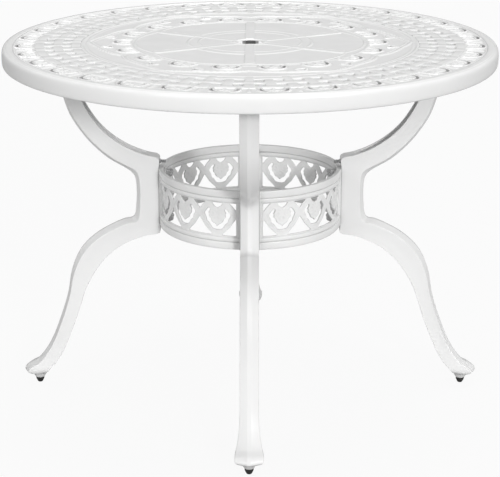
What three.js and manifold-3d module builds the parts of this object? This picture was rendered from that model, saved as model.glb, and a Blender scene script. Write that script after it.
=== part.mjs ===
// A round cast-aluminium patio table with an umbrella hole: an openwork top, four curved
// legs, a ring of four heart panels that ties the legs together, bolts and levelling glides.
// Millimetres, +Z up, origin on the floor under the umbrella hole, one leg towards -Y.

import * as THREE from "three";
import { mergeVertices } from "three/addons/utils/BufferGeometryUtils.js";
import Module from "manifold-3d";

const wasm = await Module();
wasm.setup();

// Overall
const TOP_RADIUS = 500;
const TABLE_HEIGHT = 745;
const LEG_COUNT = 4;

// Clearances and overruns
const SEAT_GAP = 0.3; // between faces that touch on the real table
const HOLE_PLAY = 0.3; // radial play of a bolt or stem in its hole
const OVERRUN = 4; // how far a cutter runs past the faces it cuts
const OVERLAP = 3; // how far joined bodies reach into each other

// Table top: levels
const LATTICE_THICKNESS = 4.5;
const LATTICE_DROP = 2; // the openwork lies this far below the rim
const FIELD_DROP = 1; // the inner field lies this far below the rim
const RIM_DEPTH = 35;
const RIM_WALL = 6;
const RIM_LAND = 14; // plain border between the openwork and the outer edge
const RIM_ROUND = 8; // rounding of the upper edge
const RIM_EASE = 2; // small bevel of the lower edge

// Table top: centre
const UMBRELLA_HOLE_RADIUS = 25.4;
const HUB_RADIUS = 42;
const HUB_DEPTH = 8; // collar below the plate
const DISC_RADIUS = 107;

// Table top: six petals with raised ribs, inside an ogee line
const PETAL_COUNT = 6;
const RIB_WIDTH = 5;
const RIB_END_INSET = 132; // insets here are measured inward from the field's edge
const OGEE_PEAK_INSET = 13;
const OGEE_CUSP_INSET = 54;
const OGEE_WIDTH = 4;
const RIDGE_ROOT = 3; // how deep a raised line is sunk into the field
const OGEE_SHARES = [
  [0, 0],
  [0.2, 0.28],
  [0.42, 0.43],
  [0.67, 0.59],
  [0.82, 0.8],
]; // share of half a petal's angle, share of the rise from cusp to peak

// Table top: openings
const FIELD_INSET = 160; // from the table's edge to the inner field
const SLOT_ROW_INSETS = [94, 130]; // from the table's edge
const SLOT_COUNT = 64; // in each row
const SLOT_ACROSS = 18;
const SLOT_DEEP = 17;
const ARCH_SLOT_WIDTH = 5;
const OUTER_ARCH_COUNT = 32;
const OUTER_ARCH_INSET = 60; // from the table's edge to the arch's feet
const OUTER_ARCH_HALF_WIDTH = 25;
const OUTER_ARCH_HEIGHT = 30;
const ARCHES_PER_PETAL = 3;
const INNER_ARCH_INSET = 95; // from the field's edge
const INNER_ARCH_HALF_WIDTH = 22;
const INNER_ARCH_HEIGHT = 29;
const ARCH_SHARES = [
  [-1, 0],
  [-0.8, 0.68],
  [0, 1],
  [0.8, 0.68],
  [1, 0],
]; // share of the half width, share of the height
const GAP_INSET = 58; // small triangles between the inner arches, from the field's edge
const GAP_HALF_WIDTH = 11;
const GAP_HEIGHT = 20;

// Leg fixing to the top
const TOP_BOLT_OFFSET = 46.5; // on either side of the arm's middle
const TOP_BOSS_RADIUS = 9;
const TOP_BOSS_DEPTH = 8;
const FLANGE_THICKNESS = 8;
const FLANGE_WIDTH = 44;
const FLANGE_END = 13; // from the bolt's axis to the flange's end

// Legs
const LEG_WIDTH = 37;
const RIDGE_FLAT = 8; // width of the flat on the leg's outer ridge
const RIDGE_SHARE = 0.82; // the side faces end at this share of the leg's depth
const HOLLOW_DEPTH = 2; // how far the side faces are hollowed
const HOLLOW_SHARE = 0.42; // where the hollow is deepest
const CHANNEL_WIDTH = 23; // open channel along the inner face of arm and shin
const CHANNEL_TAPER_SHARE = 0.8;
const CHANNEL_SHARE = 0.66; // share of the leg's depth
const CHANNEL_MOUTH_SHARE = -0.25;
const UPRIGHT_RADIUS = 189; // inner face of the upright, where the ring sits
const UPRIGHT_DEPTH = 48;
const ARM_INSET = 121.5; // from the table's edge to the arm's middle, where it meets the flange
const FOOT_INSET = 46; // from the table's edge to the glide's axis

// Foot, which flares out of the shin and ends in a cone over the glide
const FOOT_HEIGHT = 94; // top of the span that the foot's stations are shares of
const FOOT_CLEARANCE = 12; // the cone's lower face above the floor
const FOOT_WIDTH = 55; // at the widest place
const FOOT_REACH = 31; // from the glide's axis out to the toe's tip

// Ring of heart panels
const RING_BOTTOM = 360;
const RING_HEIGHT = 121;
const RING_THICKNESS = 10;
const RAIL_HEIGHT = 25;
const WEB_RECESS_DEPTH = 2.6; // the hearts lie this far behind the rails' faces
const HEARTS_PER_PANEL = 3;
const PANEL_END_GAP = 3; // between two panels behind a leg
const POST_WIDTH = 27.5; // solid end of a panel, measured from the leg's middle
const UPRIGHT_BELOW_RING = 18;
const UPRIGHT_ABOVE_RING = 22;
const HEART_SLOT_WIDTH = 7.8;
const HEART_SLOT_SHARES = [
  [-0.47, 0.79],
  [-0.6, 0.64],
  [-0.45, 0.43],
  [0, 0.24],
  [0.45, 0.43],
  [0.6, 0.64],
  [0.47, 0.79],
]; // share of half a heart's pitch, share of the web's height
const CLEFT_SHARES = [
  [-0.34, 0.97],
  [0, 0.78],
  [0.34, 0.97],
];
const SHOULDER_SHARES = [
  [-0.29, 0.97],
  [0, 0.72],
  [0.29, 0.97],
];
const TIP_SHARES = [
  [-0.68, 0.03],
  [0.68, 0.03],
  [0, 0.54],
];

// Fasteners
const BOLT_RADIUS = 3.9;
const BOLT_HEAD_RADIUS = 7.5; // over the corners
const BOLT_HEAD_HEIGHT = 5.3;
const BOLT_BITE = 19; // how far a ring bolt reaches into the leg
const BOLT_HOLE_SPARE = 2; // the blind hole is this much deeper than the bolt
const RING_BOLT_OFFSET = 10.5; // from the leg's middle plane
const RING_BOSS_LENGTH = 5.5; // from the panel's inner face
const RING_BOSS_RADIUS = 7.2;
const RING_HEAD_HEX_LENGTH = 6.5; // a ring bolt's head is six-sided, then ends in a dome
const RING_HEAD_DOME_LENGTH = 7;
const RING_HEAD_DOME_RADIUS = 6;
const DOME_SHARES = [
  [1, 0],
  [0.92, 0.38],
  [0.71, 0.71],
  [0.38, 0.92],
  [0, 1],
]; // share of the dome's radius, share of its length
const TOP_BOLT_BITE = 9;
const STUD_RADIUS = 3.5;
const STUD_LENGTH_OUT = 14.5; // free length in front of the leg
const STUD_COLLAR_RADIUS = 5.5;
const STUD_COLLAR_RISE = 6.5; // the collar's lowest point above the ring
const STUD_COLLAR_LENGTH = 4;
const STUD_BITE = 18;

// Levelling glides
const GLIDE_RADIUS = 8.8;
const GLIDE_SOLE_RADIUS = 5; // the flat that stands on the floor
const GLIDE_TAPER_HEIGHT = 7.5; // the glide widens from its sole up to this height
const STEM_RADIUS = 3.9;
const STEM_LENGTH = 30;
const STEM_HOLE_SPARE = 1.5;

// Facets around each kind of round form
const RIM_FACETS = 64;
const DISC_FACETS = 32;
const HUB_FACETS = 24;
const BOSS_FACETS = 8;
const DOME_FACETS = 12;
const GLIDE_FACETS = 16;
const HEX_FACETS = 6;
const PANEL_FACETS = 10;

// Levels and radii that follow from the sizes above
const FULL_TURN = 2 * Math.PI;
const RIGHT_ANGLE = Math.PI / 2;
const LEG_PITCH = FULL_TURN / LEG_COUNT;
const fieldRadius = TOP_RADIUS - FIELD_INSET;
const latticeTop = TABLE_HEIGHT - LATTICE_DROP;
const fieldTop = TABLE_HEIGHT - FIELD_DROP;
const plateBottom = latticeTop - LATTICE_THICKNESS;
const bossBottom = plateBottom - TOP_BOSS_DEPTH;
const flangeTop = bossBottom - SEAT_GAP;
const flangeBottom = flangeTop - FLANGE_THICKNESS;
const armRadius = TOP_RADIUS - ARM_INSET;
const footRadius = TOP_RADIUS - FOOT_INSET;
const topBoltRadii = [armRadius - TOP_BOLT_OFFSET, armRadius + TOP_BOLT_OFFSET];
const ringTop = RING_BOTTOM + RING_HEIGHT;
const glideHeight = FOOT_CLEARANCE - SEAT_GAP;
const ringOuterRadius = UPRIGHT_RADIUS - SEAT_GAP;
const ringInnerRadius = ringOuterRadius - RING_THICKNESS;
const uprightBottom = RING_BOTTOM - UPRIGHT_BELOW_RING;
const uprightTop = ringTop + UPRIGHT_ABOVE_RING;
const upperBoltHeight = ringTop - RAIL_HEIGHT / 2;
const lowerBoltHeight = RING_BOTTOM + RAIL_HEIGHT / 2;
const studHeight = ringTop + STUD_COLLAR_RISE + STUD_COLLAR_RADIUS;
const boltHoleRadius = BOLT_RADIUS + HOLE_PLAY;

// Stations along the leg as [inner radius, inner height, outer radius, outer height].
// Each stretch has its own two spans, and the shares say where a point lies within them.
const ARM_SHARES = [
  [0.897, 1, 1.103, 1],
  [0.887, 0.859, 1.092, 0.868],
  [0.865, 0.698, 1.066, 0.721],
  [0.818, 0.547, 1.024, 0.57],
  [0.728, 0.404, 0.96, 0.409],
  [0.623, 0.285, 0.85, 0.253],
  [0.47, 0.17, 0.718, 0.115],
  [0.296, 0.083, 0.549, -0.014],
  [0.127, 0.03, 0.385, -0.096],
  [0, 0, 0.301, -0.147],
];
const UPRIGHT_SHARES = [
  [0, 0.857, 1.02, 0.708],
  [0, 0.5, 0.985, 0.5],
  [0, 0.143, 1.06, 0.248],
];
const SHIN_SHARES = [
  [0, 1, 0.223, 1.086],
  [0.091, 0.985, 0.275, 1.079],
  [0.204, 0.956, 0.381, 1.042],
  [0.317, 0.912, 0.487, 0.994],
  [0.419, 0.848, 0.585, 0.93],
  [0.494, 0.778, 0.649, 0.863],
  [0.555, 0.702, 0.694, 0.787],
  [0.606, 0.617, 0.721, 0.711],
  [0.642, 0.529, 0.74, 0.62],
  [0.687, 0.427, 0.774, 0.526],
  [0.743, 0.316, 0.819, 0.424],
  [0.796, 0.222, 0.875, 0.313],
];

// Stations down the foot: inner and outer edge as shares of the reach, from the glide's axis,
// and of the foot's height, from the cone's lower face. Then the half width across the ridge
// and across the inner face, as shares of half the foot's width.
const FOOT_SHARES = [
  [-1.29, 0.5, -0.52, 0.78, 0.745, 0.745],
  [-0.97, 0.36, 0.1, 0.5, 0.89, 0.85],
  [-0.77, 0.28, 0.74, 0.366, 1, 0.9],
  [-0.645, 0.213, 1, 0.25, 0.98, 0.8],
  [-0.55, 0.16, 0.77, 0.16, 0.8, 0.6],
  [-0.53, 0.134, 0.53, 0.134, 0.6, 0.3],
  [-0.306, 0, 0.306, 0, 0.345, 0.16],
];

// Materials
const POWDER_COAT = { color: 0xe9e9e7, roughness: 0.45, metalness: 0 };
const DARK_STEEL = { color: 0x4a4b4c, roughness: 0.5, metalness: 0.9 };
const BLACK_GLIDE = { color: 0x141414, roughness: 0.6, metalness: 0 };

function signedVolume(position, index) {
  const corners = [0, 1, 2].map(() => new THREE.Vector3());
  let volume = 0;
  for (let i = 0; i < index.count; i += corners.length) {
    corners.forEach((corner, k) => corner.fromBufferAttribute(position, index.getX(i + k)));
    volume += corners[0].dot(corners[1].clone().cross(corners[2]));
  }
  return volume;
}

// A closed geometry as a solid. Lathe and loft windings follow the direction in which the
// outline was written, so an inside-out mesh is turned.
function solidOf(geometry) {
  const bare = geometry.clone();
  bare.deleteAttribute("normal");
  bare.deleteAttribute("uv");
  const merged = mergeVertices(bare);
  const triangles = Uint32Array.from(merged.index.array);
  if (signedVolume(merged.attributes.position, merged.index) < 0) {
    triangles.reverse();
  }
  return new wasm.Manifold(
    new wasm.Mesh({
      numProp: 3,
      vertProperties: Float32Array.from(merged.attributes.position.array),
      triVerts: triangles,
    }),
  );
}

function geometryOf(solid) {
  const mesh = solid.getMesh();
  const geometry = new THREE.BufferGeometry();
  geometry.setAttribute("position", new THREE.BufferAttribute(mesh.vertProperties, 3));
  geometry.setIndex(new THREE.BufferAttribute(mesh.triVerts, 1));
  geometry.computeVertexNormals();
  return geometry;
}

function joined(solids) {
  return solids.reduce((whole, solid) => whole.add(solid));
}

function cut(solid, cutters) {
  return cutters.reduce((rest, cutter) => rest.subtract(cutter), solid);
}

// A profile of [radius, height] pairs turned about +Z.
function turned(profile, facets) {
  const points = profile.map(([radius, height]) => new THREE.Vector2(radius, height));
  return new THREE.LatheGeometry(points, facets).rotateX(RIGHT_ANGLE);
}

function rod(radius, bottom, top, facets) {
  return turned([[0, bottom], [radius, bottom], [radius, top], [0, top]], facets);
}

// A rod along +X from one radius of the table to another.
function radialRod(radius, from, to, side, height, facets) {
  return rod(radius, from, to, facets).rotateY(RIGHT_ANGLE).translate(0, side, height);
}

function ringPoints(radius, facets) {
  return Array.from({ length: facets }, (_, i) => {
    const angle = (i * FULL_TURN) / facets;
    return new THREE.Vector2(radius * Math.cos(angle), radius * Math.sin(angle));
  });
}

function flatPlate(outline, openings, bottom, top) {
  const shape = new THREE.Shape(outline);
  shape.holes = openings.map((points) => new THREE.Path(points));
  const plate = new THREE.ExtrudeGeometry(shape, { depth: top - bottom, bevelEnabled: false });
  return plate.translate(0, 0, bottom);
}

function scaled(shares, across, up) {
  return shares.map(([x, y]) => new THREE.Vector2(x * across, y * up));
}

// Outline of a band of one width along a path.
function bandOutline(path, width) {
  const sides = path.map((point, i) => {
    const before = path[Math.max(i - 1, 0)];
    const after = path[Math.min(i + 1, path.length - 1)];
    const along = after.clone().sub(before).normalize();
    return new THREE.Vector2(-along.y, along.x).multiplyScalar(width / 2);
  });
  const left = path.map((point, i) => point.clone().add(sides[i]));
  const right = path.map((point, i) => point.clone().sub(sides[i]));
  return [...left, ...right.reverse()];
}

// Moves points drawn as (sideways, outward) to a radius and an angle on the table top.
function onTop(points, radius, angle) {
  const turn = new THREE.Vector2();
  return points.map((point) => new THREE.Vector2(radius + point.y, point.x).rotateAround(turn, angle));
}

// A closed body through rings of points that all have the same count; flat is the same ring
// drawn in a plane, for its two end faces.
function lofted(rings, flat) {
  const count = flat.length;
  const faces = THREE.ShapeUtils.triangulateShape(flat, []);
  const last = (rings.length - 1) * count;
  const index = faces.flatMap(([a, b, c]) => [c, b, a, last + a, last + b, last + c]);
  for (let ring = 0; ring < rings.length - 1; ring++) {
    for (let i = 0; i < count; i++) {
      const here = ring * count + i;
      const next = ring * count + ((i + 1) % count);
      index.push(here, next, next + count, here, next + count, here + count);
    }
  }
  const geometry = new THREE.BufferGeometry().setFromPoints(rings.flat());
  return geometry.setIndex(index);
}

// Table top

function slotOpenings() {
  const half = new THREE.Vector2(SLOT_ACROSS / 2, SLOT_DEEP / 2);
  const corners = [[-1, -1], [1, -1], [1, 1], [-1, 1]];
  const slot = scaled(corners, half.x, half.y);
  const pitch = FULL_TURN / SLOT_COUNT;
  return SLOT_ROW_INSETS.flatMap((inset) =>
    Array.from({ length: SLOT_COUNT }, (_, i) => onTop(slot, TOP_RADIUS - inset, (i + 0.5) * pitch)),
  );
}

function archOpenings(count, radius, halfWidth, height) {
  const arch = bandOutline(scaled(ARCH_SHARES, halfWidth, height), ARCH_SLOT_WIDTH);
  const pitch = FULL_TURN / count;
  return Array.from({ length: count }, (_, i) => onTop(arch, radius, (i + 0.5) * pitch));
}

function gapOpenings() {
  const gap = scaled([[-1, 0], [1, 0], [0, 1]], GAP_HALF_WIDTH, GAP_HEIGHT);
  const petal = FULL_TURN / PETAL_COUNT;
  const step = petal / ARCHES_PER_PETAL / 2;
  return Array.from({ length: PETAL_COUNT }, (_, i) => i * petal).flatMap((middle) =>
    [-step, step].map((side) => onTop(gap, fieldRadius - GAP_INSET, middle + side)),
  );
}

function ogeePoints(offset) {
  const half = FULL_TURN / PETAL_COUNT / 2;
  const cusp = fieldRadius - OGEE_CUSP_INSET;
  const rise = OGEE_CUSP_INSET - OGEE_PEAK_INSET;
  const rising = OGEE_SHARES.map(([turn, up]) => [turn * half, cusp + up * rise]);
  const falling = rising.slice(1).map(([turn, radius]) => [2 * half - turn, radius]).reverse();
  const petal = [...rising, [half, cusp + rise], ...falling];
  return Array.from({ length: PETAL_COUNT }, (_, i) => (2 * i + 1) * half).flatMap((start) =>
    petal.map(([turn, radius]) => {
      const angle = start + turn;
      return new THREE.Vector2(Math.cos(angle), Math.sin(angle)).multiplyScalar(radius + offset);
    }),
  );
}

function rimProfile() {
  const rimBottom = TABLE_HEIGHT - RIM_DEPTH;
  const wallRadius = TOP_RADIUS - RIM_WALL;
  const landRadius = TOP_RADIUS - RIM_LAND;
  const easing = RIM_ROUND * (1 - Math.SQRT1_2);
  return [
    [landRadius, plateBottom],
    [wallRadius, plateBottom],
    [wallRadius, rimBottom],
    [TOP_RADIUS - RIM_EASE, rimBottom],
    [TOP_RADIUS, rimBottom + RIM_EASE],
    [TOP_RADIUS, TABLE_HEIGHT - RIM_ROUND],
    [TOP_RADIUS - easing, TABLE_HEIGHT - easing],
    [TOP_RADIUS - RIM_ROUND, TABLE_HEIGHT],
    [landRadius, TABLE_HEIGHT],
    [landRadius, plateBottom],
  ];
}

function petalRibs() {
  const end = fieldRadius - RIB_END_INSET;
  const length = end - DISC_RADIUS + OVERLAP;
  const rib = new THREE.BoxGeometry(length, RIB_WIDTH, FIELD_DROP + RIDGE_ROOT);
  rib.translate(end - length / 2, 0, TABLE_HEIGHT - (FIELD_DROP + RIDGE_ROOT) / 2);
  const pitch = FULL_TURN / PETAL_COUNT;
  return Array.from({ length: PETAL_COUNT }, (_, i) => rib.clone().rotateZ((i + 0.5) * pitch));
}

function topBosses() {
  const atLegs = Array.from({ length: LEG_COUNT }, (_, i) => i * LEG_PITCH);
  const bosses = topBoltRadii.flatMap((radius) =>
    atLegs.map((angle) =>
      rod(TOP_BOSS_RADIUS, bossBottom, plateBottom + OVERLAP, BOSS_FACETS)
        .translate(radius, 0, 0)
        .rotateZ(angle),
    ),
  );
  const holeTop = flangeTop + TOP_BOLT_BITE + BOLT_HOLE_SPARE;
  const holes = topBoltRadii.flatMap((radius) =>
    atLegs.map((angle) =>
      rod(boltHoleRadius, bossBottom - OVERRUN, holeTop, HEX_FACETS)
        .translate(radius, 0, 0)
        .rotateZ(angle),
    ),
  );
  return { bosses, holes };
}

function tableTop() {
  const lattice = flatPlate(
    ringPoints(TOP_RADIUS - RIM_LAND + OVERLAP, RIM_FACETS),
    [
      ringPoints(fieldRadius - OVERLAP, RIM_FACETS),
      ...slotOpenings(),
      ...archOpenings(
        OUTER_ARCH_COUNT,
        TOP_RADIUS - OUTER_ARCH_INSET,
        OUTER_ARCH_HALF_WIDTH,
        OUTER_ARCH_HEIGHT,
      ),
    ],
    plateBottom,
    latticeTop,
  );
  const field = flatPlate(
    ringPoints(fieldRadius, RIM_FACETS),
    [
      ...archOpenings(
        PETAL_COUNT * ARCHES_PER_PETAL,
        fieldRadius - INNER_ARCH_INSET,
        INNER_ARCH_HALF_WIDTH,
        INNER_ARCH_HEIGHT,
      ),
      ...gapOpenings(),
    ],
    plateBottom,
    fieldTop,
  );
  const disc = rod(DISC_RADIUS, fieldTop - RIDGE_ROOT, TABLE_HEIGHT, DISC_FACETS);
  const ogee = flatPlate(
    ogeePoints(OGEE_WIDTH / 2),
    [ogeePoints(-OGEE_WIDTH / 2)],
    fieldTop - RIDGE_ROOT,
    TABLE_HEIGHT,
  );
  const hub = rod(HUB_RADIUS, plateBottom - HUB_DEPTH, plateBottom + OVERLAP, HUB_FACETS);
  const hubHole = rod(
    UMBRELLA_HOLE_RADIUS,
    plateBottom - HUB_DEPTH - OVERRUN,
    TABLE_HEIGHT + OVERRUN,
    HUB_FACETS,
  );
  const { bosses, holes } = topBosses();
  const rim = turned(rimProfile(), RIM_FACETS);
  const whole = joined([lattice, field, rim, disc, ogee, ...petalRibs(), hub, ...bosses].map(solidOf));
  return geometryOf(cut(whole, [hubHole, ...holes].map(solidOf)));
}

// Legs, drawn with the radius along +X

function legStations() {
  const side = LEG_WIDTH / 2;
  const plain = { side, innerSide: side, hollow: HOLLOW_DEPTH };
  const stretch = (shares, reach, bottom, rise) =>
    shares.map(([innerOut, innerUp, outerOut, outerUp]) => ({
      inner: new THREE.Vector2(UPRIGHT_RADIUS + innerOut * reach, bottom + innerUp * rise),
      outer: new THREE.Vector2(UPRIGHT_RADIUS + outerOut * reach, bottom + outerUp * rise),
      ...plain,
    }));
  const footRise = FOOT_HEIGHT - FOOT_CLEARANCE;
  const footPoint = (out, up) =>
    new THREE.Vector2(footRadius + out * FOOT_REACH, FOOT_CLEARANCE + up * footRise);
  const foot = FOOT_SHARES.map(([innerOut, innerUp, outerOut, outerUp, across, innerAcross]) => ({
    inner: footPoint(innerOut, innerUp),
    outer: footPoint(outerOut, outerUp),
    side: (across * FOOT_WIDTH) / 2,
    innerSide: (innerAcross * FOOT_WIDTH) / 2,
    hollow: 0,
  }));
  const armRise = flangeBottom + OVERLAP - uprightTop;
  return {
    arm: stretch(ARM_SHARES, armRadius - UPRIGHT_RADIUS, uprightTop, armRise),
    upright: stretch(UPRIGHT_SHARES, UPRIGHT_DEPTH, uprightBottom, uprightTop - uprightBottom),
    shin: stretch(SHIN_SHARES, footRadius - UPRIGHT_RADIUS, 0, uprightBottom),
    foot,
  };
}

// A body through the stations; section gives each one its points as [share of the depth, side].
function throughStations(stations, section) {
  const depth = stations[0].inner.distanceTo(stations[0].outer);
  const flat = section(stations[0]).map(([share, side]) => new THREE.Vector2(share * depth, side));
  const rings = stations.map((station) =>
    section(station).map(([share, side]) => {
      const point = station.inner.clone().lerp(station.outer, share);
      return new THREE.Vector3(point.x, side, point.y);
    }),
  );
  return lofted(rings, flat);
}

function legBody({ arm, upright, shin, foot }) {
  const flat = RIDGE_FLAT / 2;
  const section = ({ side, innerSide, hollow }) => [
    [0, -innerSide],
    [HOLLOW_SHARE, hollow - side],
    [RIDGE_SHARE, -side],
    [1, -flat],
    [1, flat],
    [RIDGE_SHARE, side],
    [HOLLOW_SHARE, side - hollow],
    [0, innerSide],
  ];
  return throughStations([...arm, ...upright, ...shin, ...foot], section);
}

function legChannel(stations) {
  const mouth = CHANNEL_WIDTH / 2;
  const floor = mouth * CHANNEL_TAPER_SHARE;
  return throughStations(stations, () => [
    [CHANNEL_MOUTH_SHARE, -mouth],
    [CHANNEL_SHARE, -floor],
    [CHANNEL_SHARE, floor],
    [CHANNEL_MOUTH_SHARE, mouth],
  ]);
}

function topFlange() {
  const inner = topBoltRadii[0] - FLANGE_END;
  const outer = topBoltRadii[1] + FLANGE_END;
  const flange = new THREE.BoxGeometry(outer - inner, FLANGE_WIDTH, FLANGE_THICKNESS);
  return flange.translate((inner + outer) / 2, 0, (flangeTop + flangeBottom) / 2);
}

function legHoles() {
  const boltEnd = UPRIGHT_RADIUS + BOLT_BITE + BOLT_HOLE_SPARE;
  const mouth = UPRIGHT_RADIUS - OVERRUN;
  const ringHoles = [upperBoltHeight, lowerBoltHeight].flatMap((height) =>
    [-RING_BOLT_OFFSET, RING_BOLT_OFFSET].map((side) =>
      radialRod(boltHoleRadius, mouth, boltEnd, side, height, HEX_FACETS),
    ),
  );
  const studEnd = UPRIGHT_RADIUS + STUD_BITE + BOLT_HOLE_SPARE;
  const studHole = radialRod(STUD_RADIUS + HOLE_PLAY, mouth, studEnd, 0, studHeight, HEX_FACETS);
  const topHoles = topBoltRadii.map((radius) =>
    rod(boltHoleRadius, flangeBottom - OVERRUN, flangeTop + OVERRUN, HEX_FACETS).translate(radius, 0, 0),
  );
  const stemTop = glideHeight + STEM_LENGTH + STEM_HOLE_SPARE;
  const stemHole = rod(STEM_RADIUS + HOLE_PLAY, 0, stemTop, GLIDE_FACETS).translate(footRadius, 0, 0);
  return [...ringHoles, studHole, ...topHoles, stemHole];
}

function leg() {
  const stations = legStations();
  const armChannel = legChannel(stations.arm.slice(1, -1));
  const shinChannel = legChannel(stations.shin.slice(1, -1));
  const whole = joined([legBody(stations), topFlange()].map(solidOf));
  return geometryOf(cut(whole, [armChannel, shinChannel, ...legHoles()].map(solidOf)));
}

// Heart panels, drawn from a leg at angle 0 to the next one at a right angle

const panelEndAngle = Math.asin(PANEL_END_GAP / 2 / ringInnerRadius);
const heartsStart = Math.asin(POST_WIDTH / ringOuterRadius);
const heartPitch = (LEG_PITCH - 2 * heartsStart) / HEARTS_PER_PANEL;
const webMiddleRadius = (ringOuterRadius + ringInnerRadius) / 2;

function panelShell() {
  const webBottom = RING_BOTTOM + RAIL_HEIGHT;
  const webTop = ringTop - RAIL_HEIGHT;
  const webOuter = ringOuterRadius - WEB_RECESS_DEPTH;
  const webInner = ringInnerRadius + WEB_RECESS_DEPTH;
  const section = [
    [ringInnerRadius, RING_BOTTOM],
    [ringOuterRadius, RING_BOTTOM],
    [ringOuterRadius, webBottom],
    [webOuter, webBottom + WEB_RECESS_DEPTH],
    [webOuter, webTop - WEB_RECESS_DEPTH],
    [ringOuterRadius, webTop],
    [ringOuterRadius, ringTop],
    [ringInnerRadius, ringTop],
    [ringInnerRadius, webTop],
    [webInner, webTop - WEB_RECESS_DEPTH],
    [webInner, webBottom + WEB_RECESS_DEPTH],
    [ringInnerRadius, webBottom],
  ];
  const step = (LEG_PITCH - 2 * panelEndAngle) / PANEL_FACETS;
  const rings = Array.from({ length: PANEL_FACETS + 1 }, (_, i) => {
    const angle = panelEndAngle + i * step;
    return section.map(
      ([radius, height]) =>
        new THREE.Vector3(radius * Math.cos(angle), radius * Math.sin(angle), height),
    );
  });
  return lofted(rings, section.map(([radius, height]) => new THREE.Vector2(radius, height)));
}

// Cuts an outline drawn as (sideways, up) straight through the panel at an angle.
function panelCutter(outline, angle) {
  const bore = new THREE.ExtrudeGeometry(new THREE.Shape(outline), {
    depth: RING_THICKNESS + 2 * OVERRUN,
    bevelEnabled: false,
  });
  const outward = new THREE.Vector3(Math.cos(angle), Math.sin(angle), 0);
  const sideways = new THREE.Vector3(-outward.y, outward.x, 0);
  const up = new THREE.Vector3(0, 0, 1);
  const start = outward.clone().multiplyScalar(ringInnerRadius - OVERRUN);
  start.z = RING_BOTTOM + RAIL_HEIGHT;
  return bore.applyMatrix4(new THREE.Matrix4().makeBasis(sideways, up, outward).setPosition(start));
}

// The half of an outline that lies on one side of the middle line.
function halfOutline(shares, side) {
  const kept = shares.filter(([across]) => across * side >= 0);
  const [, edgeHeight] = shares.find(([across]) => across !== 0);
  return [...kept, [0, edgeHeight]];
}

function panelCutters() {
  const webHeight = RING_HEIGHT - 2 * RAIL_HEIGHT;
  const halfPitch = Math.tan(heartPitch / 2) * webMiddleRadius;
  const fit = (shares) => scaled(shares, halfPitch, webHeight);
  const heartAngle = (i) => heartsStart + (i + 0.5) * heartPitch;
  const heartSlot = bandOutline(fit(HEART_SLOT_SHARES), HEART_SLOT_WIDTH);
  const inHearts = Array.from({ length: HEARTS_PER_PANEL }, (_, i) => heartAngle(i)).flatMap(
    (angle) => [panelCutter(heartSlot, angle), panelCutter(fit(CLEFT_SHARES), angle)],
  );
  const between = Array.from({ length: HEARTS_PER_PANEL - 1 }, (_, i) => heartAngle(i + 0.5)).flatMap(
    (angle) => [SHOULDER_SHARES, TIP_SHARES].map((shares) => panelCutter(fit(shares), angle)),
  );
  const atEnds = [
    [heartsStart, 1],
    [LEG_PITCH - heartsStart, -1],
  ].flatMap(([angle, side]) =>
    [SHOULDER_SHARES, TIP_SHARES].map((shares) => panelCutter(fit(halfOutline(shares, side)), angle)),
  );
  return [...inHearts, ...between, ...atEnds];
}

const bossEndRadius = ringInnerRadius - RING_BOSS_LENGTH;
const RING_BOLTS = [
  { level: "upper", height: upperBoltHeight },
  { level: "lower", height: lowerBoltHeight },
];

// Bosses or bolt holes at both ends of a panel, as rods towards the two legs.
function atPanelEnds(radius, from, to, height, facets) {
  const first = radialRod(radius, from, to, RING_BOLT_OFFSET, height, facets);
  const second = radialRod(radius, from, to, -RING_BOLT_OFFSET, height, facets).rotateZ(LEG_PITCH);
  return [first, second];
}

function heartPanel() {
  const postMiddle = ringInnerRadius + RING_THICKNESS / 2;
  const bosses = RING_BOLTS.flatMap(({ height }) =>
    atPanelEnds(RING_BOSS_RADIUS, bossEndRadius, postMiddle, height, BOSS_FACETS),
  );
  const holes = RING_BOLTS.flatMap(({ height }) =>
    atPanelEnds(boltHoleRadius, bossEndRadius - OVERRUN, ringOuterRadius + OVERRUN, height, HEX_FACETS),
  );
  const whole = joined([panelShell(), ...bosses].map(solidOf));
  return geometryOf(cut(whole, [...panelCutters(), ...holes].map(solidOf)));
}

// Fasteners, drawn along +Z with the head's seat at zero

function hexBolt(length) {
  const profile = [
    [0, -BOLT_HEAD_HEIGHT],
    [BOLT_HEAD_RADIUS, -BOLT_HEAD_HEIGHT],
    [BOLT_HEAD_RADIUS, 0],
    [BOLT_RADIUS, 0],
    [BOLT_RADIUS, length],
    [0, length],
  ];
  return geometryOf(solidOf(turned(profile, HEX_FACETS)));
}

function domedBolt(length) {
  const domeStart = -RING_HEAD_HEX_LENGTH;
  const dome = DOME_SHARES.map(([out, along]) => [
    out * RING_HEAD_DOME_RADIUS,
    domeStart - along * RING_HEAD_DOME_LENGTH,
  ]);
  const root = domeStart + OVERLAP;
  const domeProfile = [[0, root], [RING_HEAD_DOME_RADIUS, root], ...dome];
  return geometryOf(
    joined(
      [
        rod(BOLT_HEAD_RADIUS, domeStart, 0, HEX_FACETS),
        turned(domeProfile, DOME_FACETS),
        rod(BOLT_RADIUS, -OVERLAP, length, HEX_FACETS),
      ].map(solidOf),
    ),
  );
}

function ringStud() {
  const collarStart = STUD_LENGTH_OUT - SEAT_GAP - STUD_COLLAR_LENGTH;
  const collarEnd = STUD_LENGTH_OUT - SEAT_GAP;
  const profile = [
    [0, 0],
    [STUD_RADIUS, 0],
    [STUD_RADIUS, collarStart],
    [STUD_COLLAR_RADIUS, collarStart],
    [STUD_COLLAR_RADIUS, collarEnd],
    [STUD_RADIUS, collarEnd],
    [STUD_RADIUS, STUD_LENGTH_OUT + STUD_BITE],
    [0, STUD_LENGTH_OUT + STUD_BITE],
  ];
  return geometryOf(solidOf(turned(profile, HEX_FACETS)));
}

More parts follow.
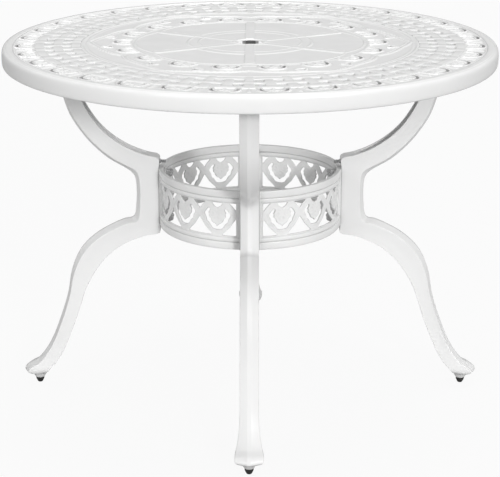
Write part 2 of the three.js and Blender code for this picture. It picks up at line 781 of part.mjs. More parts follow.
function glide() {
  const profile = [
    [0, 0],
    [GLIDE_SOLE_RADIUS, 0],
    [GLIDE_RADIUS, GLIDE_TAPER_HEIGHT],
    [GLIDE_RADIUS, glideHeight],
    [STEM_RADIUS, glideHeight],
    [STEM_RADIUS, glideHeight + STEM_LENGTH],
    [0, glideHeight + STEM_LENGTH],
  ];
  return geometryOf(solidOf(turned(profile, GLIDE_FACETS)));
}

// Assembly

function named(name, geometry, finish) {
  const mesh = new THREE.Mesh(geometry, new THREE.MeshStandardMaterial(finish));
  mesh.name = name;
  return mesh;
}

// A piece drawn along +Z, turned to point outward from the table's axis.
function pointedOutward(mesh, radius, side, height) {
  mesh.rotation.y = RIGHT_ANGLE;
  mesh.position.set(radius, side, height);
  return mesh;
}

const LEG_NAMES = ["right", "back", "left", "front"];

const legGeometry = leg();
const panelGeometry = heartPanel();
const glideGeometry = glide();
const studGeometry = ringStud();
const topBoltGeometry = hexBolt(FLANGE_THICKNESS + SEAT_GAP + TOP_BOLT_BITE);
const ringBoltSeat = bossEndRadius - SEAT_GAP;
const ringBoltGeometry = domedBolt(UPRIGHT_RADIUS + BOLT_BITE - ringBoltSeat);

const table = new THREE.Group();
table.add(named("table_top", tableTop(), POWDER_COAT));

LEG_NAMES.forEach((place, i) => {
  const corner = new THREE.Group();
  corner.rotation.z = i * LEG_PITCH;
  corner.add(named(`leg_${place}`, legGeometry, POWDER_COAT));
  corner.add(named(`heart_panel_${place}_${LEG_NAMES[(i + 1) % LEG_COUNT]}`, panelGeometry, POWDER_COAT));

  const foot = named(`glide_${place}`, glideGeometry, BLACK_GLIDE);
  foot.position.x = footRadius;
  corner.add(foot);

  const stud = named(`ring_stud_${place}`, studGeometry, DARK_STEEL);
  corner.add(pointedOutward(stud, UPRIGHT_RADIUS - STUD_LENGTH_OUT, 0, studHeight));

  ["inner", "outer"].forEach((end, k) => {
    const bolt = named(`top_bolt_${place}_${end}`, topBoltGeometry, DARK_STEEL);
    bolt.position.set(topBoltRadii[k], 0, flangeBottom - SEAT_GAP);
    corner.add(bolt);
  });

  RING_BOLTS.forEach(({ level, height }) => {
    [["a", -RING_BOLT_OFFSET], ["b", RING_BOLT_OFFSET]].forEach(([mark, side]) => {
      const bolt = named(`ring_bolt_${level}_${place}_${mark}`, ringBoltGeometry, DARK_STEEL);
      corner.add(pointedOutward(bolt, ringBoltSeat, side, height));
    });
  });

  table.add(corner);
});

export default table;
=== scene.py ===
# %% [markdown]
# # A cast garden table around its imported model
# The real table is poured from aluminium in a handful of castings, powder coated white
# and bolted together: an openwork top, four curved legs and a ring of heart panels.
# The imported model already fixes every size, so this lesson only makes the looks.
# It could start from the solids and smooth them, but they have few faces on purpose,
# so each visible piece is built again, finely, in the place of its solid.

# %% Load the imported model
import math

import bpy
import numpy as np
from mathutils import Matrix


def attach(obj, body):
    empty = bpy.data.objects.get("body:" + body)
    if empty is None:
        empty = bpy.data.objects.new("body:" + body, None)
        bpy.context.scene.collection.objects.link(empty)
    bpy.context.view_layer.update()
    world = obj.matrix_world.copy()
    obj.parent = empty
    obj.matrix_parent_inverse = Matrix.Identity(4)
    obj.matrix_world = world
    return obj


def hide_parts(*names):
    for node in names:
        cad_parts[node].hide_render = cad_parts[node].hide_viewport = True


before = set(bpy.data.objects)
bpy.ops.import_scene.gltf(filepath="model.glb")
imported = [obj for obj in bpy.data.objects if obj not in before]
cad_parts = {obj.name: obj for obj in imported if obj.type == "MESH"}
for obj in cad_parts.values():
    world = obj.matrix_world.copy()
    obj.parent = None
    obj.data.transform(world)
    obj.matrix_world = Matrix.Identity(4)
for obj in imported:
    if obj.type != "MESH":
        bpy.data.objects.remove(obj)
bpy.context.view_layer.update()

# %% [markdown]
# ## Working in millimetres
# Foundry drawings are in millimetres, so the numbers below are too, and one factor turns
# them into Blender's metres when a mesh is made. The main sizes repeat the drawing.

# %% The table's main sizes
MM = 0.001
FULL_TURN = 2 * math.pi
TOP_RADIUS = 500.0
TABLE_HEIGHT = 745.0
SHEET_BOTTOM = 738.5
HOLE_RADIUS = 25.4
RING_RADIUS = 183.7
RING_BOTTOM = 360.0
RING_HEIGHT = 121.0
RAIL_HEIGHT = 25.0
LEG_FACE = 189.0
FOOT_RADIUS = 454.0
NEAR_AXIS = 0.01
TOP_BOLT_RADII = {"inner": 332, "outer": 425}
PLACES = ("right", "back", "left", "front")
QUARTER = FULL_TURN / len(PLACES)
print("table", 2 * TOP_RADIUS, "mm across and", TABLE_HEIGHT, "mm high")

# %% [markdown]
# ## Camera
# The photograph was taken from a little above the top, with a long lens. A camera
# can be placed by eye, or solved from things of known shape: here the round rim, the
# round hole and the four feet fixed its height, tilt, distance and lens.

# %% Place the camera
SENSOR_WIDTH = 36
CAMERA_LENS = 118.03
CAMERA_DISTANCE = 3.29
CAMERA_HEIGHT = 1.374
CAMERA_TURN = math.radians(0.2)
CAMERA_TILT = math.radians(17.697)
camera_data = bpy.data.cameras.new("camera")
camera_data.sensor_width = SENSOR_WIDTH
camera_data.lens = CAMERA_LENS
camera = bpy.data.objects.new("camera", camera_data)
camera.location = (
    CAMERA_DISTANCE * math.sin(CAMERA_TURN),
    -CAMERA_DISTANCE * math.cos(CAMERA_TURN),
    CAMERA_HEIGHT,
)
camera.rotation_euler = (math.pi / 2 - CAMERA_TILT, 0, CAMERA_TURN)
bpy.context.scene.collection.objects.link(camera)
bpy.context.scene.camera = camera
print("camera at", tuple(round(value, 3) for value in camera.location))

# %% [markdown]
# ## White powder coat
# Powder coat is melted plastic: a soft gloss, a faint orange peel, and in castings a
# slow waviness underneath. One flat white would hide all the relief, so the colour
# drifts a little, carries painted shade that darkens it deep in corners and recesses, and
# the gloss wanders. Two noises of very different scale make the skin and the casting.


# %% Helpers for materials
USUAL_NOISE = (0.3, 0.7)


def started(name):
    """A new material, its nodes, and the shader they end in."""
    material = bpy.data.materials.new(name)
    material.use_nodes = True
    tree = material.node_tree
    return material, tree, tree.nodes["Principled BSDF"]


def noise_of(tree, scale, detail):
    place = tree.nodes.new("ShaderNodeTexCoord")
    noise = tree.nodes.new("ShaderNodeTexNoise")
    noise.inputs["Scale"].default_value = scale
    noise.inputs["Detail"].default_value = detail
    tree.links.new(place.outputs["Object"], noise.inputs["Vector"])
    return noise.outputs["Fac"]


def ranged(tree, value, low, high):
    """A noise, of which most lies between the two usual values, stretched from low to high."""
    mapping = tree.nodes.new("ShaderNodeMapRange")
    mapping.inputs["From Min"].default_value = USUAL_NOISE[0]
    mapping.inputs["From Max"].default_value = USUAL_NOISE[1]
    mapping.inputs["To Min"].default_value = low
    mapping.inputs["To Max"].default_value = high
    tree.links.new(value, mapping.inputs["Value"])
    return mapping.outputs["Result"]


def coloured(tree, value, stops):
    """A value turned into greys, each stop a position and its colour."""
    ramp = tree.nodes.new("ShaderNodeValToRGB")
    elements = ramp.color_ramp.elements
    for element, (position, grey) in zip(elements, stops):
        element.position = position
        element.color = (*grey, 1)
    for position, grey in stops[2:]:
        elements.new(position).color = (*grey, 1)
    tree.links.new(value, ramp.inputs["Fac"])
    return ramp.outputs["Color"]


def blended(tree, share, first, second):
    """A shader between two others, all of the first where share is 0."""
    mix = tree.nodes.new("ShaderNodeMixShader")
    tree.links.new(share, mix.inputs["Fac"])
    tree.links.new(first, mix.inputs[1])
    tree.links.new(second, mix.inputs[2])
    return mix.outputs[0]


def bumped(tree, value, distance, strength, under=None):
    bump = tree.nodes.new("ShaderNodeBump")
    bump.inputs["Distance"].default_value = distance
    bump.inputs["Strength"].default_value = strength
    tree.links.new(value, bump.inputs["Height"])
    if under is not None:
        tree.links.new(under, bump.inputs["Normal"])
    return bump.outputs["Normal"]


# %% Powder coat
powder_coat, tree, shader = started("powder_coat")
WHITES = ((0.1, (0.725, 0.725, 0.723)), (0.9, (0.775, 0.775, 0.772)))
drift = coloured(tree, noise_of(tree, 5, 2), WHITES)
# Painted shade: the white is multiplied darker where ambient occlusion finds corners, creases and recesses.
PAINTED_SHADE_REACH = 0.022
corner = tree.nodes.new("ShaderNodeAmbientOcclusion")
corner.samples = 6
corner.inputs["Distance"].default_value = PAINTED_SHADE_REACH
PAINTED_SHADE_DEPTHS = ((0.1, (0.5, 0.5, 0.5)), (0.5, (0.6, 0.6, 0.6)), (0.85, (1, 1, 1)))
painted_shade = coloured(tree, corner.outputs["AO"], PAINTED_SHADE_DEPTHS)
mix = tree.nodes.new("ShaderNodeMixRGB")
mix.blend_type = "MULTIPLY"
mix.inputs["Fac"].default_value = 1
tree.links.new(drift, mix.inputs["Color1"])
tree.links.new(painted_shade, mix.inputs["Color2"])
tree.links.new(mix.outputs["Color"], shader.inputs["Base Color"])
tree.links.new(ranged(tree, noise_of(tree, 24, 2), 0.15, 0.22), shader.inputs["Roughness"])
casting = bumped(tree, noise_of(tree, 40, 2), 0.0005, 0.12)
peel = bumped(tree, noise_of(tree, 900, 2), 0.00005, 0.15, casting)
tree.links.new(peel, shader.inputs["Normal"])
shader.inputs["Specular IOR Level"].default_value = 0.7
print(powder_coat.name, "has", len(tree.nodes), "nodes")

# %% [markdown]
# ## Dark steel and black plastic
# The bolts and studs are plated steel. Metal takes its look from what it mirrors, so they
# are dark where the castings shade them and bright where they face the room. The glides
# are plain moulded plastic with a fine grain.

# %% Steel and plastic
dark_steel, tree, shader = started("dark_steel")
PLATINGS = ((0.3, (0.5, 0.5, 0.505)), (0.75, (0.7, 0.7, 0.705)))
plating = coloured(tree, noise_of(tree, 260, 4), PLATINGS)
tree.links.new(plating, shader.inputs["Base Color"])
shader.inputs["Metallic"].default_value = 0.95
tree.links.new(ranged(tree, noise_of(tree, 420, 3), 0.2, 0.36), shader.inputs["Roughness"])
tree.links.new(bumped(tree, noise_of(tree, 1500, 2), 0.0001, 0.25), shader.inputs["Normal"])

black_plastic, tree, shader = started("black_plastic")
BLACKS = ((0.3, (0.012, 0.012, 0.012)), (0.8, (0.034, 0.034, 0.034)))
moulded = coloured(tree, noise_of(tree, 90, 3), BLACKS)
tree.links.new(moulded, shader.inputs["Base Color"])
tree.links.new(ranged(tree, noise_of(tree, 300, 2), 0.42, 0.62), shader.inputs["Roughness"])
tree.links.new(bumped(tree, noise_of(tree, 2200, 2), 0.0001, 0.5), shader.inputs["Normal"])
FINISHES = {"powder_coat": powder_coat, "dark_steel": dark_steel, "black_plastic": black_plastic}
print("finishes", sorted(FINISHES))

# %% [markdown]
# ## From arrays to pieces
# Every piece here ends as points and faces. One helper makes the mesh, shades it smooth
# and keeps the edges that turn sharply crisp. Another gives the piece its finish, puts
# it on its body and lets it stand for its solid.


# %% Helpers for every piece
def piece_from(name, points, faces, sharp_over=34, even=False):
    """A smooth piece; with even, its broad faces stay flat and only the narrow ones round off."""
    mesh = bpy.data.meshes.new(name)
    mesh.from_pydata((np.asarray(points, float) * MM).tolist(), [], [list(map(int, face)) for face in faces])
    mesh.validate()
    mesh.polygons.foreach_set("use_smooth", [True] * len(mesh.polygons))
    mesh.set_sharp_from_angle(angle=math.radians(sharp_over))
    made = bpy.data.objects.new(name, mesh)
    bpy.context.scene.collection.objects.link(made)
    if even:
        made.modifiers.new("even_normals", "WEIGHTED_NORMAL").keep_sharp = True
    return made


def settle(made, slot, body, *nodes):
    made.data.materials.append(FINISHES[slot])
    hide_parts(*nodes)
    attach(made, body)


def turned_about(points, angle):
    x, y, z = np.asarray(points, float).T
    cos, sin = math.cos(angle), math.sin(angle)
    return np.stack([x * cos - y * sin, x * sin + y * cos, z], 1)


def together(parts):
    points, faces, start = [], [], 0
    for part_points, part_faces in parts:
        points.append(np.asarray(part_points, float))
        faces.extend([[index + start for index in face] for face in part_faces])
        start += len(part_points)
    return np.concatenate(points), faces


# %% [markdown]
# ## Turned forms and lofted forms
# A rim, a bolt head or a glide is a profile spun about an axis. A leg is a section that
# changes as it moves along a curve. Both could be modifiers, but plain rings of
# points leave the count of faces and the rounding of each corner in our hands.


# %% Rings of points
def circle(radius, height, steps):
    """A ring of points, whose radius and height may each be one number or one for every point."""
    angles = np.arange(steps) * FULL_TURN / steps
    return np.stack([radius * np.cos(angles), radius * np.sin(angles), np.full(steps, height)], 1)


def turned(profile, steps):
    """A closed profile of (radius, height) spun about the upright axis."""
    rings = [circle(radius, height, steps) for radius, height in profile]
    faces = []
    for ring in range(len(profile)):
        after = (ring + 1) % len(profile)
        for i in range(steps):
            j = (i + 1) % steps
            faces.append((ring * steps + i, ring * steps + j, after * steps + j, after * steps + i))
    return np.concatenate(rings), faces


def lofted(rings):
    """A skin through rings of points, closed with a face at each end."""
    count = len(rings[0])
    faces = [list(range(count))[::-1]]
    for ring in range(len(rings) - 1):
        for i in range(count):
            j = (i + 1) % count
            here = ring * count
            faces.append((here + i, here + j, here + count + j, here + count + i))
    last = (len(rings) - 1) * count
    faces.append(list(range(last, last + count)))
    return np.concatenate(rings), faces


LONGEST_EASE = 0.45


def eased(corners, radii, steps=3):
    """A closed outline with each corner rounded by a short curve, always with the same count."""
    corners = np.asarray(corners, float)
    points = []
    for i, corner in enumerate(corners):
        before = corners[i - 1] - corner
        after = corners[(i + 1) % len(corners)] - corner
        reach_before = min(radii[i], LONGEST_EASE * np.linalg.norm(before))
        reach_after = min(radii[i], LONGEST_EASE * np.linalg.norm(after))
        start = corner + before / max(np.linalg.norm(before), 1e-9) * reach_before
        end = corner + after / max(np.linalg.norm(after), 1e-9) * reach_after
        for step in range(steps):
            share = step / (steps - 1)
            points.append((1 - share) ** 2 * start + 2 * share * (1 - share) * corner + share ** 2 * end)
    return np.array(points)


def through(stations, spans):
    """Rows of numbers with smooth rows put between them, so that every station is met."""
    rows = np.asarray(stations, float)
    padded = np.vstack([2 * rows[0] - rows[1], rows, 2 * rows[-1] - rows[-2]])
    made = []
    for i in range(len(rows) - 1):
        a, b, c, d = padded[i:i + 4]
        for t in np.arange(spans) / spans:
            made.append(0.5 * (2 * b + (c - a) * t + (2 * a - 5 * b + 4 * c - d) * t ** 2
                               + (3 * b - a - 3 * c + d) * t ** 3))
    made.append(rows[-1])
    return np.array(made)


# %% [markdown]
# ## Openwork sheets
# The top and the heart panels are sheets with shaped holes and relief. Booleans would
# work, but hundreds of cuts are slow and leave poor faces. Instead each hole is a
# distance: positive in the metal, zero on the hole's edge. A grid of triangles is cut
# along zero, and once more a little inside, so that every edge gets an even
# chamfer. The same distance also says where the relief rises.


# %% Cut a grid of triangles along a line of equal distance
NEARLY_ZERO = 1e-6
CLOSEST_CUT = 0.06


def cut_at(flat, triangles, distance, level):
    """The points with the new ones on the line, the triangles above the level and those below it."""
    value = distance(flat) - level
    value[np.abs(value) < NEARLY_ZERO] = NEARLY_ZERO
    inside = value > 0
    count = inside[triangles].sum(1)
    mixed = triangles[(count == 1) | (count == 2)]
    flags = inside[mixed]
    alone_in = flags.sum(1) == 1
    alone = np.where(alone_in, flags.argmax(1), (~flags).argmax(1))
    a, b, c = mixed[np.arange(len(mixed))[:, None], (alone[:, None] + np.arange(3)) % 3].T
    pairs = np.sort(np.concatenate([np.stack([a, b], 1), np.stack([a, c], 1)]), 1)
    unique, where = np.unique(pairs, axis=0, return_inverse=True)
    p, q = unique.T
    share = np.clip(value[p] / (value[p] - value[q]), CLOSEST_CUT, 1 - CLOSEST_CUT)
    crossings = flat[p] + (flat[q] - flat[p]) * share[:, None]
    ab, ac = (where.reshape(-1) + len(flat)).reshape(2, -1)
    tips = np.stack([a, ab, ac], 1)
    rests = np.stack([ab, b, c], 1), np.stack([ab, c, ac], 1)
    kept = [triangles[count == 3], tips[alone_in], *[rest[~alone_in] for rest in rests]]
    left = [triangles[count == 0], tips[~alone_in], *[rest[alone_in] for rest in rests]]
    return np.vstack([flat, crossings]), np.concatenate(kept), np.concatenate(left)


def grid_of(rows, columns, wraps):
    """Triangles of a grid, with its last column joined to its first if it wraps."""
    i, j = np.meshgrid(np.arange(rows - 1), np.arange(columns if wraps else columns - 1), indexing="ij")
    i, j = i.ravel(), j.ravel()
    k = (j + 1) % columns
    a, b, c, d = i * columns + j, i * columns + k, (i + 1) * columns + k, (i + 1) * columns + j
    return np.concatenate([np.stack([a, d, c], 1), np.stack([a, c, b], 1)])


def sheet(flat, triangles, metal, chamfer, face, back):
    """A closed sheet: the grid cut to the metal, its face, its back and the walls between."""
    flat, inner, edge = cut_at(flat, triangles, metal, chamfer)
    flat, edge, _ = cut_at(flat, edge, metal, 0)
    kept = np.concatenate([inner, edge])
    used, kept = np.unique(kept, return_inverse=True)
    kept = kept.reshape(-1, 3)
    flat = flat[used]
    count = len(flat)
    sides = np.concatenate([kept[:, [0, 1]], kept[:, [1, 2]], kept[:, [2, 0]]])
    code = sides[:, 0] * count + sides[:, 1]
    open_sides = sides[~np.isin(code, sides[:, 1] * count + sides[:, 0])]
    p, q = open_sides.T
    walls = np.concatenate([np.stack([q, p, p + count], 1), np.stack([q, p + count, q + count], 1)])
    points = np.concatenate([face(flat), back(flat)])
    return points, np.concatenate([kept, kept[:, ::-1] + count, walls])


# %% [markdown]
# ## Distances to simple outlines
# A slot is a rounded box, an arch is a path with a width, a wedge is a polygon.
# Each gives its distance for all points of the grid at once.


# %% Distances
def to_path(x, y, path):
    """Distance to a line of points, and how far along it the nearest place lies, from 0 to 1."""
    path = np.asarray(path, float)
    nearest, along = np.full(len(x), 1e9), np.zeros(len(x))
    for i in range(len(path) - 1):
        step = path[i + 1] - path[i]
        share = np.clip(((x - path[i, 0]) * step[0] + (y - path[i, 1]) * step[1]) / (step @ step), 0, 1)
        gap = np.hypot(x - path[i, 0] - share * step[0], y - path[i, 1] - share * step[1])
        closer = gap < nearest
        nearest = np.where(closer, gap, nearest)
        along = np.where(closer, (i + share) / (len(path) - 1), along)
    return nearest, along


def to_box(x, y, half_x, half_y, corner):
    out_x, out_y = np.abs(x) - half_x + corner, np.abs(y) - half_y + corner
    outside = np.hypot(np.maximum(out_x, 0), np.maximum(out_y, 0))
    return outside + np.minimum(np.maximum(out_x, out_y), 0) - corner


def to_polygon(x, y, corners, corner_radius):
    """Distance to a closed outline, negative inside it, with its corners softened outward."""
    corners = np.asarray(corners, float)
    closed = np.vstack([corners, corners[:1]])
    gap, _ = to_path(x, y, closed)
    inside = np.zeros(len(x), bool)
    for (x0, y0), (x1, y1) in zip(closed[:-1], closed[1:]):
        if y0 != y1:
            inside ^= ((y0 > y) != (y1 > y)) & (x < x0 + (y - y0) * (x1 - x0) / (y1 - y0))
    return np.where(inside, -gap, gap) - corner_radius


def bead(gap, half_width, rise):
    """A raised rounded line where the gap to its middle is under half its width."""
    share = np.clip(np.abs(gap) / half_width, 0, 1)
    return rise * np.sqrt(1 - share ** 2)


def with_lines(rise, flat, lines):
    """The rise with round lines on it, each given by its radius, half its width and its height."""
    radius = np.hypot(flat[:, 0], flat[:, 1])
    for line, half_width, height in lines:
        rise = np.maximum(rise, bead(radius - line, half_width, height))
    return rise


def sunk(gap, width, drop):
    """How far a face sinks towards the edge of an opening, as a chamfer."""
    return drop * (1 - np.clip(gap / width, 0, 1))


def around(flat, count, phase=0.5):
    """Each point seen from the nearest of some equal directions: sideways and outward."""
    angle = np.arctan2(flat[:, 1], flat[:, 0])
    radius = np.hypot(flat[:, 0], flat[:, 1])
    pitch = FULL_TURN / count
    off = angle - (np.round(angle / pitch - phase) + phase) * pitch
    return radius * np.sin(off), radius * np.cos(off)


def polar_grid(radii, columns):
    angles = np.arange(columns) * FULL_TURN / columns
    radius, angle = np.meshgrid(radii, angles, indexing="ij")
    flat = np.stack([radius.ravel() * np.cos(angle.ravel()), radius.ravel() * np.sin(angle.ravel())], 1)
    return flat, grid_of(len(radii), columns, True)[:, ::-1]


def lifted(height):
    return lambda flat: np.column_stack([flat, height(flat)])


def level(height):
    return lambda flat: np.column_stack([flat, np.full(len(flat), height)])


def band_of_top(name, radii, columns, metal, chamfer, height, bottom):
    """A ring-shaped sheet of the top, with its openings and its relief."""
    skin = sheet(*polar_grid(radii, columns), metal, chamfer, lifted(height), level(bottom))
    settle(piece_from(name, *skin), "powder_coat", "frame", "table_top")
    print(name, len(skin[1]), "faces")


# %% [markdown]
# ## The woven band of the top
# Two rows of square openings leave broad straps, and on the real casting the straps look
# woven: each dips under the next. A strap is a crowned ridge, its height waves along
# its length, and where two cross the higher one shows.

# %% Woven band
STRAP_PITCH = 36.0
STRAP_COUNT = 64
HOOP_RADII = (352.0, 388.0, 424.0)
SLOT_ROWS = (370.0, 406.0)
SLOT_HALF_ACROSS, SLOT_HALF_DEEP, SLOT_CORNER = 9.0, 8.5, 2
STRAP_HALF = STRAP_PITCH / 2 - SLOT_HALF_DEEP
STRAP_SHOULDER = 0.93
WOVEN_CHAMFER, WOVEN_DROP = 1.3, 0.9
WEAVE_DIP = 0.42
STRAP_CROWN, CROWN_POWER = 1.3, 8
STRAP_LOW = 742.5
WOVEN_START, WOVEN_END, WOVEN_STEP = 342, 434, 2.25
WOVEN_COLUMNS = 11 * STRAP_COUNT


def woven_metal(flat):
    across, out = around(flat, STRAP_COUNT)
    rows = [to_box(across, out - row, SLOT_HALF_ACROSS, SLOT_HALF_DEEP, SLOT_CORNER) for row in SLOT_ROWS]
    return np.minimum(*rows)


def strap_top(share, wave):
    """Height of a strap, share of half its width from its middle, and below all straps past its edge."""
    height = STRAP_LOW + WEAVE_DIP * wave + STRAP_CROWN * (1 - np.clip(share, 0, 1) ** CROWN_POWER)
    return np.where(share < 1.001, height, STRAP_LOW - 1)


def woven_height(flat):
    radius = np.hypot(flat[:, 0], flat[:, 1])
    turn = np.arctan2(flat[:, 1], flat[:, 0]) * STRAP_COUNT / FULL_TURN
    from_first = radius - HOOP_RADII[0]
    spoke, hoop = np.round(turn), np.round(from_first / STRAP_PITCH)
    pitch_here = radius * FULL_TURN / STRAP_COUNT
    spoke_share = np.abs(turn - spoke) * pitch_here / (pitch_here / 2 - SLOT_HALF_ACROSS)
    hoop_share = np.abs(from_first - hoop * STRAP_PITCH) / STRAP_HALF
    spoke_wave = np.cos(math.pi * (from_first / STRAP_PITCH + spoke))
    hoop_wave = -np.cos(math.pi * (turn + hoop))
    top = np.maximum(strap_top(spoke_share, spoke_wave), strap_top(hoop_share, hoop_wave))
    return top - sunk(woven_metal(flat), WOVEN_CHAMFER, WOVEN_DROP)


STRAP_EDGES = (-1, -STRAP_SHOULDER, STRAP_SHOULDER, 1)
radii = np.unique(np.round(np.concatenate([
    np.arange(WOVEN_START, WOVEN_END, WOVEN_STEP),
    [middle + side * STRAP_HALF for middle in HOOP_RADII for side in STRAP_EDGES],
]), 2))
band_of_top("top_woven_band", radii, WOVEN_COLUMNS, woven_metal, WOVEN_CHAMFER, woven_height, SHEET_BOTTOM)

# %% [markdown]
# ## The outer band of arches
# Thirty-two horseshoe slots run round just inside the rim, each with a raised lip on both
# sides, a small heart inside it and a leaf between it and the next.

# %% Outer band
GROUND, CREST = 742.3, 744.9
OPEN_CHAMFER, OPEN_DROP = 0.8, 0.7
OPEN_BOTTOM = SHEET_BOTTOM + 0.1
ARCH_POWER, ARCH_POINTS = 2.4, 15
ARCH_SLOT_HALF = 2.2
LIP_HALF, LIP_RISE = 2.3, 2.2
HEART_SIZE, HEART_RISE = 10, 2.2
OUTER_COUNT = 32
LEAF = ((0, 441), (0, 468))
LEAF_HALF, LEAF_RISE = 4.6, 2
OUTER_LINES = ((433.5, 2.2, 1.6), (476, 2.2, 1.8))
OUTER_START, OUTER_END, OUTER_STEP = 431.5, 482, 1.7
OUTER_COLUMNS = 36 * OUTER_COUNT


def arch_path(half_width, height):
    """Half a rounded rectangle between an ellipse and a box, from right to left."""
    turns = np.linspace(0, math.pi, ARCH_POINTS)
    across = np.sign(np.cos(turns)) * np.abs(np.cos(turns)) ** (2 / ARCH_POWER)
    return np.stack([half_width * across, height * np.sin(turns) ** (2 / ARCH_POWER)], 1)


def heart_boss(across, out):
    """Rise of a small raised heart whose tip points inward."""
    across, half = np.abs(across), HEART_SIZE / 2
    lobe = np.hypot(across - half, out - half)
    flank = to_path(across, out, [(half, half), (0, -HEART_SIZE)])[0]
    gap = np.minimum(lobe - HEART_SIZE * 0.2, flank) - HEART_SIZE * 0.4
    return HEART_RISE * np.clip(-gap / (HEART_SIZE * 0.4), 0, 1) ** 0.5


def arch_gap(flat, count, phase, radius, arch):
    """Distance to the middle of the nearest slot in a ring of arches."""
    across, out = around(flat, count, phase)
    return to_path(across, out - radius, arch)[0]


def arch_relief(flat, heart_radius, count, phase, radius, arch):
    """Rise of the lips beside each slot, and of a small heart inside each arch."""
    gap = arch_gap(flat, count, phase, radius, arch)
    across, out = around(flat, count, phase)
    lips = bead(gap - ARCH_SLOT_HALF - LIP_HALF, LIP_HALF, LIP_RISE)
    return np.maximum(lips, heart_boss(across, out - heart_radius))


def open_face(rise, gap):
    """Height of a band's face, no higher than the crest and sunk towards each opening."""
    return np.minimum(GROUND + rise, CREST) - sunk(gap, OPEN_CHAMFER, OPEN_DROP)


OUTER_ARCHES = (OUTER_COUNT, 0.5, 440, arch_path(25, 30))
OUTER_HEART_RADIUS = 451


def outer_metal(flat):
    return arch_gap(flat, *OUTER_ARCHES) - ARCH_SLOT_HALF


def outer_height(flat):
    rise = arch_relief(flat, OUTER_HEART_RADIUS, *OUTER_ARCHES)
    leaf, along = to_path(*around(flat, OUTER_COUNT, 0), LEAF)
    rise = np.maximum(rise, bead(leaf / (0.5 + 0.5 * along), LEAF_HALF, LEAF_RISE))
    return open_face(with_lines(rise, flat, OUTER_LINES), outer_metal(flat))


radii = np.arange(OUTER_START, OUTER_END, OUTER_STEP)
band_of_top("top_outer_band", radii, OUTER_COLUMNS, outer_metal, OPEN_CHAMFER, outer_height, OPEN_BOTTOM)

# %% [markdown]
# ## The band of inner hearts
# Inside the weave lies a plainer field. A raised line swings round it in six bays, with
# a cusp between two bays, and eighteen smaller arches and twelve wedges are open.

# %% Inner band
INNER_COUNT = 18
INNER_ARCHES = (INNER_COUNT, 0, 245, arch_path(22, 29))
INNER_HEART_RADIUS = 255
BAY_COUNT = 6
BAY = FULL_TURN / BAY_COUNT
CUSP_RADIUS, PEAK_RADIUS = 286.0, 327.0
BAY_SHARES = ((0, 0), (0.2, 0.28), (0.42, 0.43), (0.67, 0.59), (0.82, 0.8), (1, 1))
WEDGE = ((-11, 0), (11, 0), (0, 20))
WEDGE_RADIUS, WEDGE_SOFT, WEDGE_INSIDE = 282, 1.5, 5
WEDGE_TURN = BAY / 6
WEDGE_LIP, WEDGE_RISE = 2, 1.8
BAY_LINES = ((0, 3, 2), (-9, 1.9, 1))
INNER_LINES = ((339, 3.2, 1.7), (330, 1.9, 0.9), (239.5, 2.2, 0.9))
INNER_START, INNER_END, INNER_STEP = 236, 343.5, 2.1
INNER_COLUMNS = 44 * INNER_COUNT
half_bay = through([
    ((1 - turn) * BAY / 2, CUSP_RADIUS + up * (PEAK_RADIUS - CUSP_RADIUS)) for turn, up in BAY_SHARES
], 3)
whole_bay = np.vstack([half_bay, half_bay[-2::-1] * (-1, 1)])


def bay_line(offset):
    turn, radius = whole_bay[:, 0], whole_bay[:, 1] + offset
    return np.stack([radius * np.sin(turn), radius * np.cos(turn)], 1)


def wedge_gap(flat):
    across, out = around(flat, BAY_COUNT, 0)
    radius, turn = np.hypot(across, out), np.abs(np.arctan2(across, out)) - WEDGE_TURN
    corners = np.array(WEDGE, float)
    middle = corners.mean(0)
    shrunk = middle + (corners - middle) * (1 - WEDGE_SOFT / WEDGE_INSIDE)
    return to_polygon(radius * np.sin(turn), radius * np.cos(turn) - WEDGE_RADIUS, shrunk, WEDGE_SOFT)


def inner_metal(flat):
    return np.minimum(arch_gap(flat, *INNER_ARCHES) - ARCH_SLOT_HALF, wedge_gap(flat))


def inner_height(flat):
    across, out = around(flat, BAY_COUNT, 0)
    rise = arch_relief(flat, INNER_HEART_RADIUS, *INNER_ARCHES)
    for offset, half_width, height in BAY_LINES:
        rise = np.maximum(rise, bead(to_path(across, out, bay_line(offset))[0], half_width, height))
    rise = np.maximum(rise, bead(wedge_gap(flat) - WEDGE_LIP, WEDGE_LIP, WEDGE_RISE))
    return open_face(with_lines(rise, flat, INNER_LINES), inner_metal(flat))


radii = np.arange(INNER_START, INNER_END, INNER_STEP)
band_of_top("top_heart_band", radii, INNER_COLUMNS, inner_metal, OPEN_CHAMFER, inner_height, OPEN_BOTTOM)

# %% [markdown]
# ## Petals, disc and umbrella hole
# The middle is closed metal: six broad petals between low flat ribs, a disc between two
# raised lines, and a rounded lip round the hole for the umbrella's pole. The plate thins
# towards the hole from below, so that one looks through it from far off. It has no
# openings, so rings of points do, and they need far fewer faces than a cut sheet.

# %% Centre
DISC_RADIUS = 126.0
DISC_STEP, STEP_SOFTNESS = 0.7, 0.8
CENTRE_LINES = ((DISC_RADIUS, 3, 0.9), (104, 2.4, 0.7), (31, 4.4, 1.3))
RIB_START, RIB_END, RIB_HALF = 37.0, 210.0, 9.5
RIB_RISE, RIB_SOFTNESS = 1.5, 0.5
PETAL_RADIUS, PETAL_DIP, PETAL_POWER = 232, 14, 2.2
HOLE_LIP_EDGE, HOLE_LIP_DROP = HOLE_RADIUS + 1.6, 0.6
CENTRE_EDGE = 238.5
BEVEL_RADIUS, HOLE_UNDERSIDE = 36.0, 741.2
CENTRE_COLUMNS = 960
centre_radii = np.unique(np.round(np.concatenate([
    np.arange(HOLE_RADIUS, 44, 1.4), np.arange(44, 98, 8), np.arange(98, 134, 1.2),
    np.arange(134, 196, 7), np.arange(196, CENTRE_EDGE, 1.6), [CENTRE_EDGE],
]), 2))


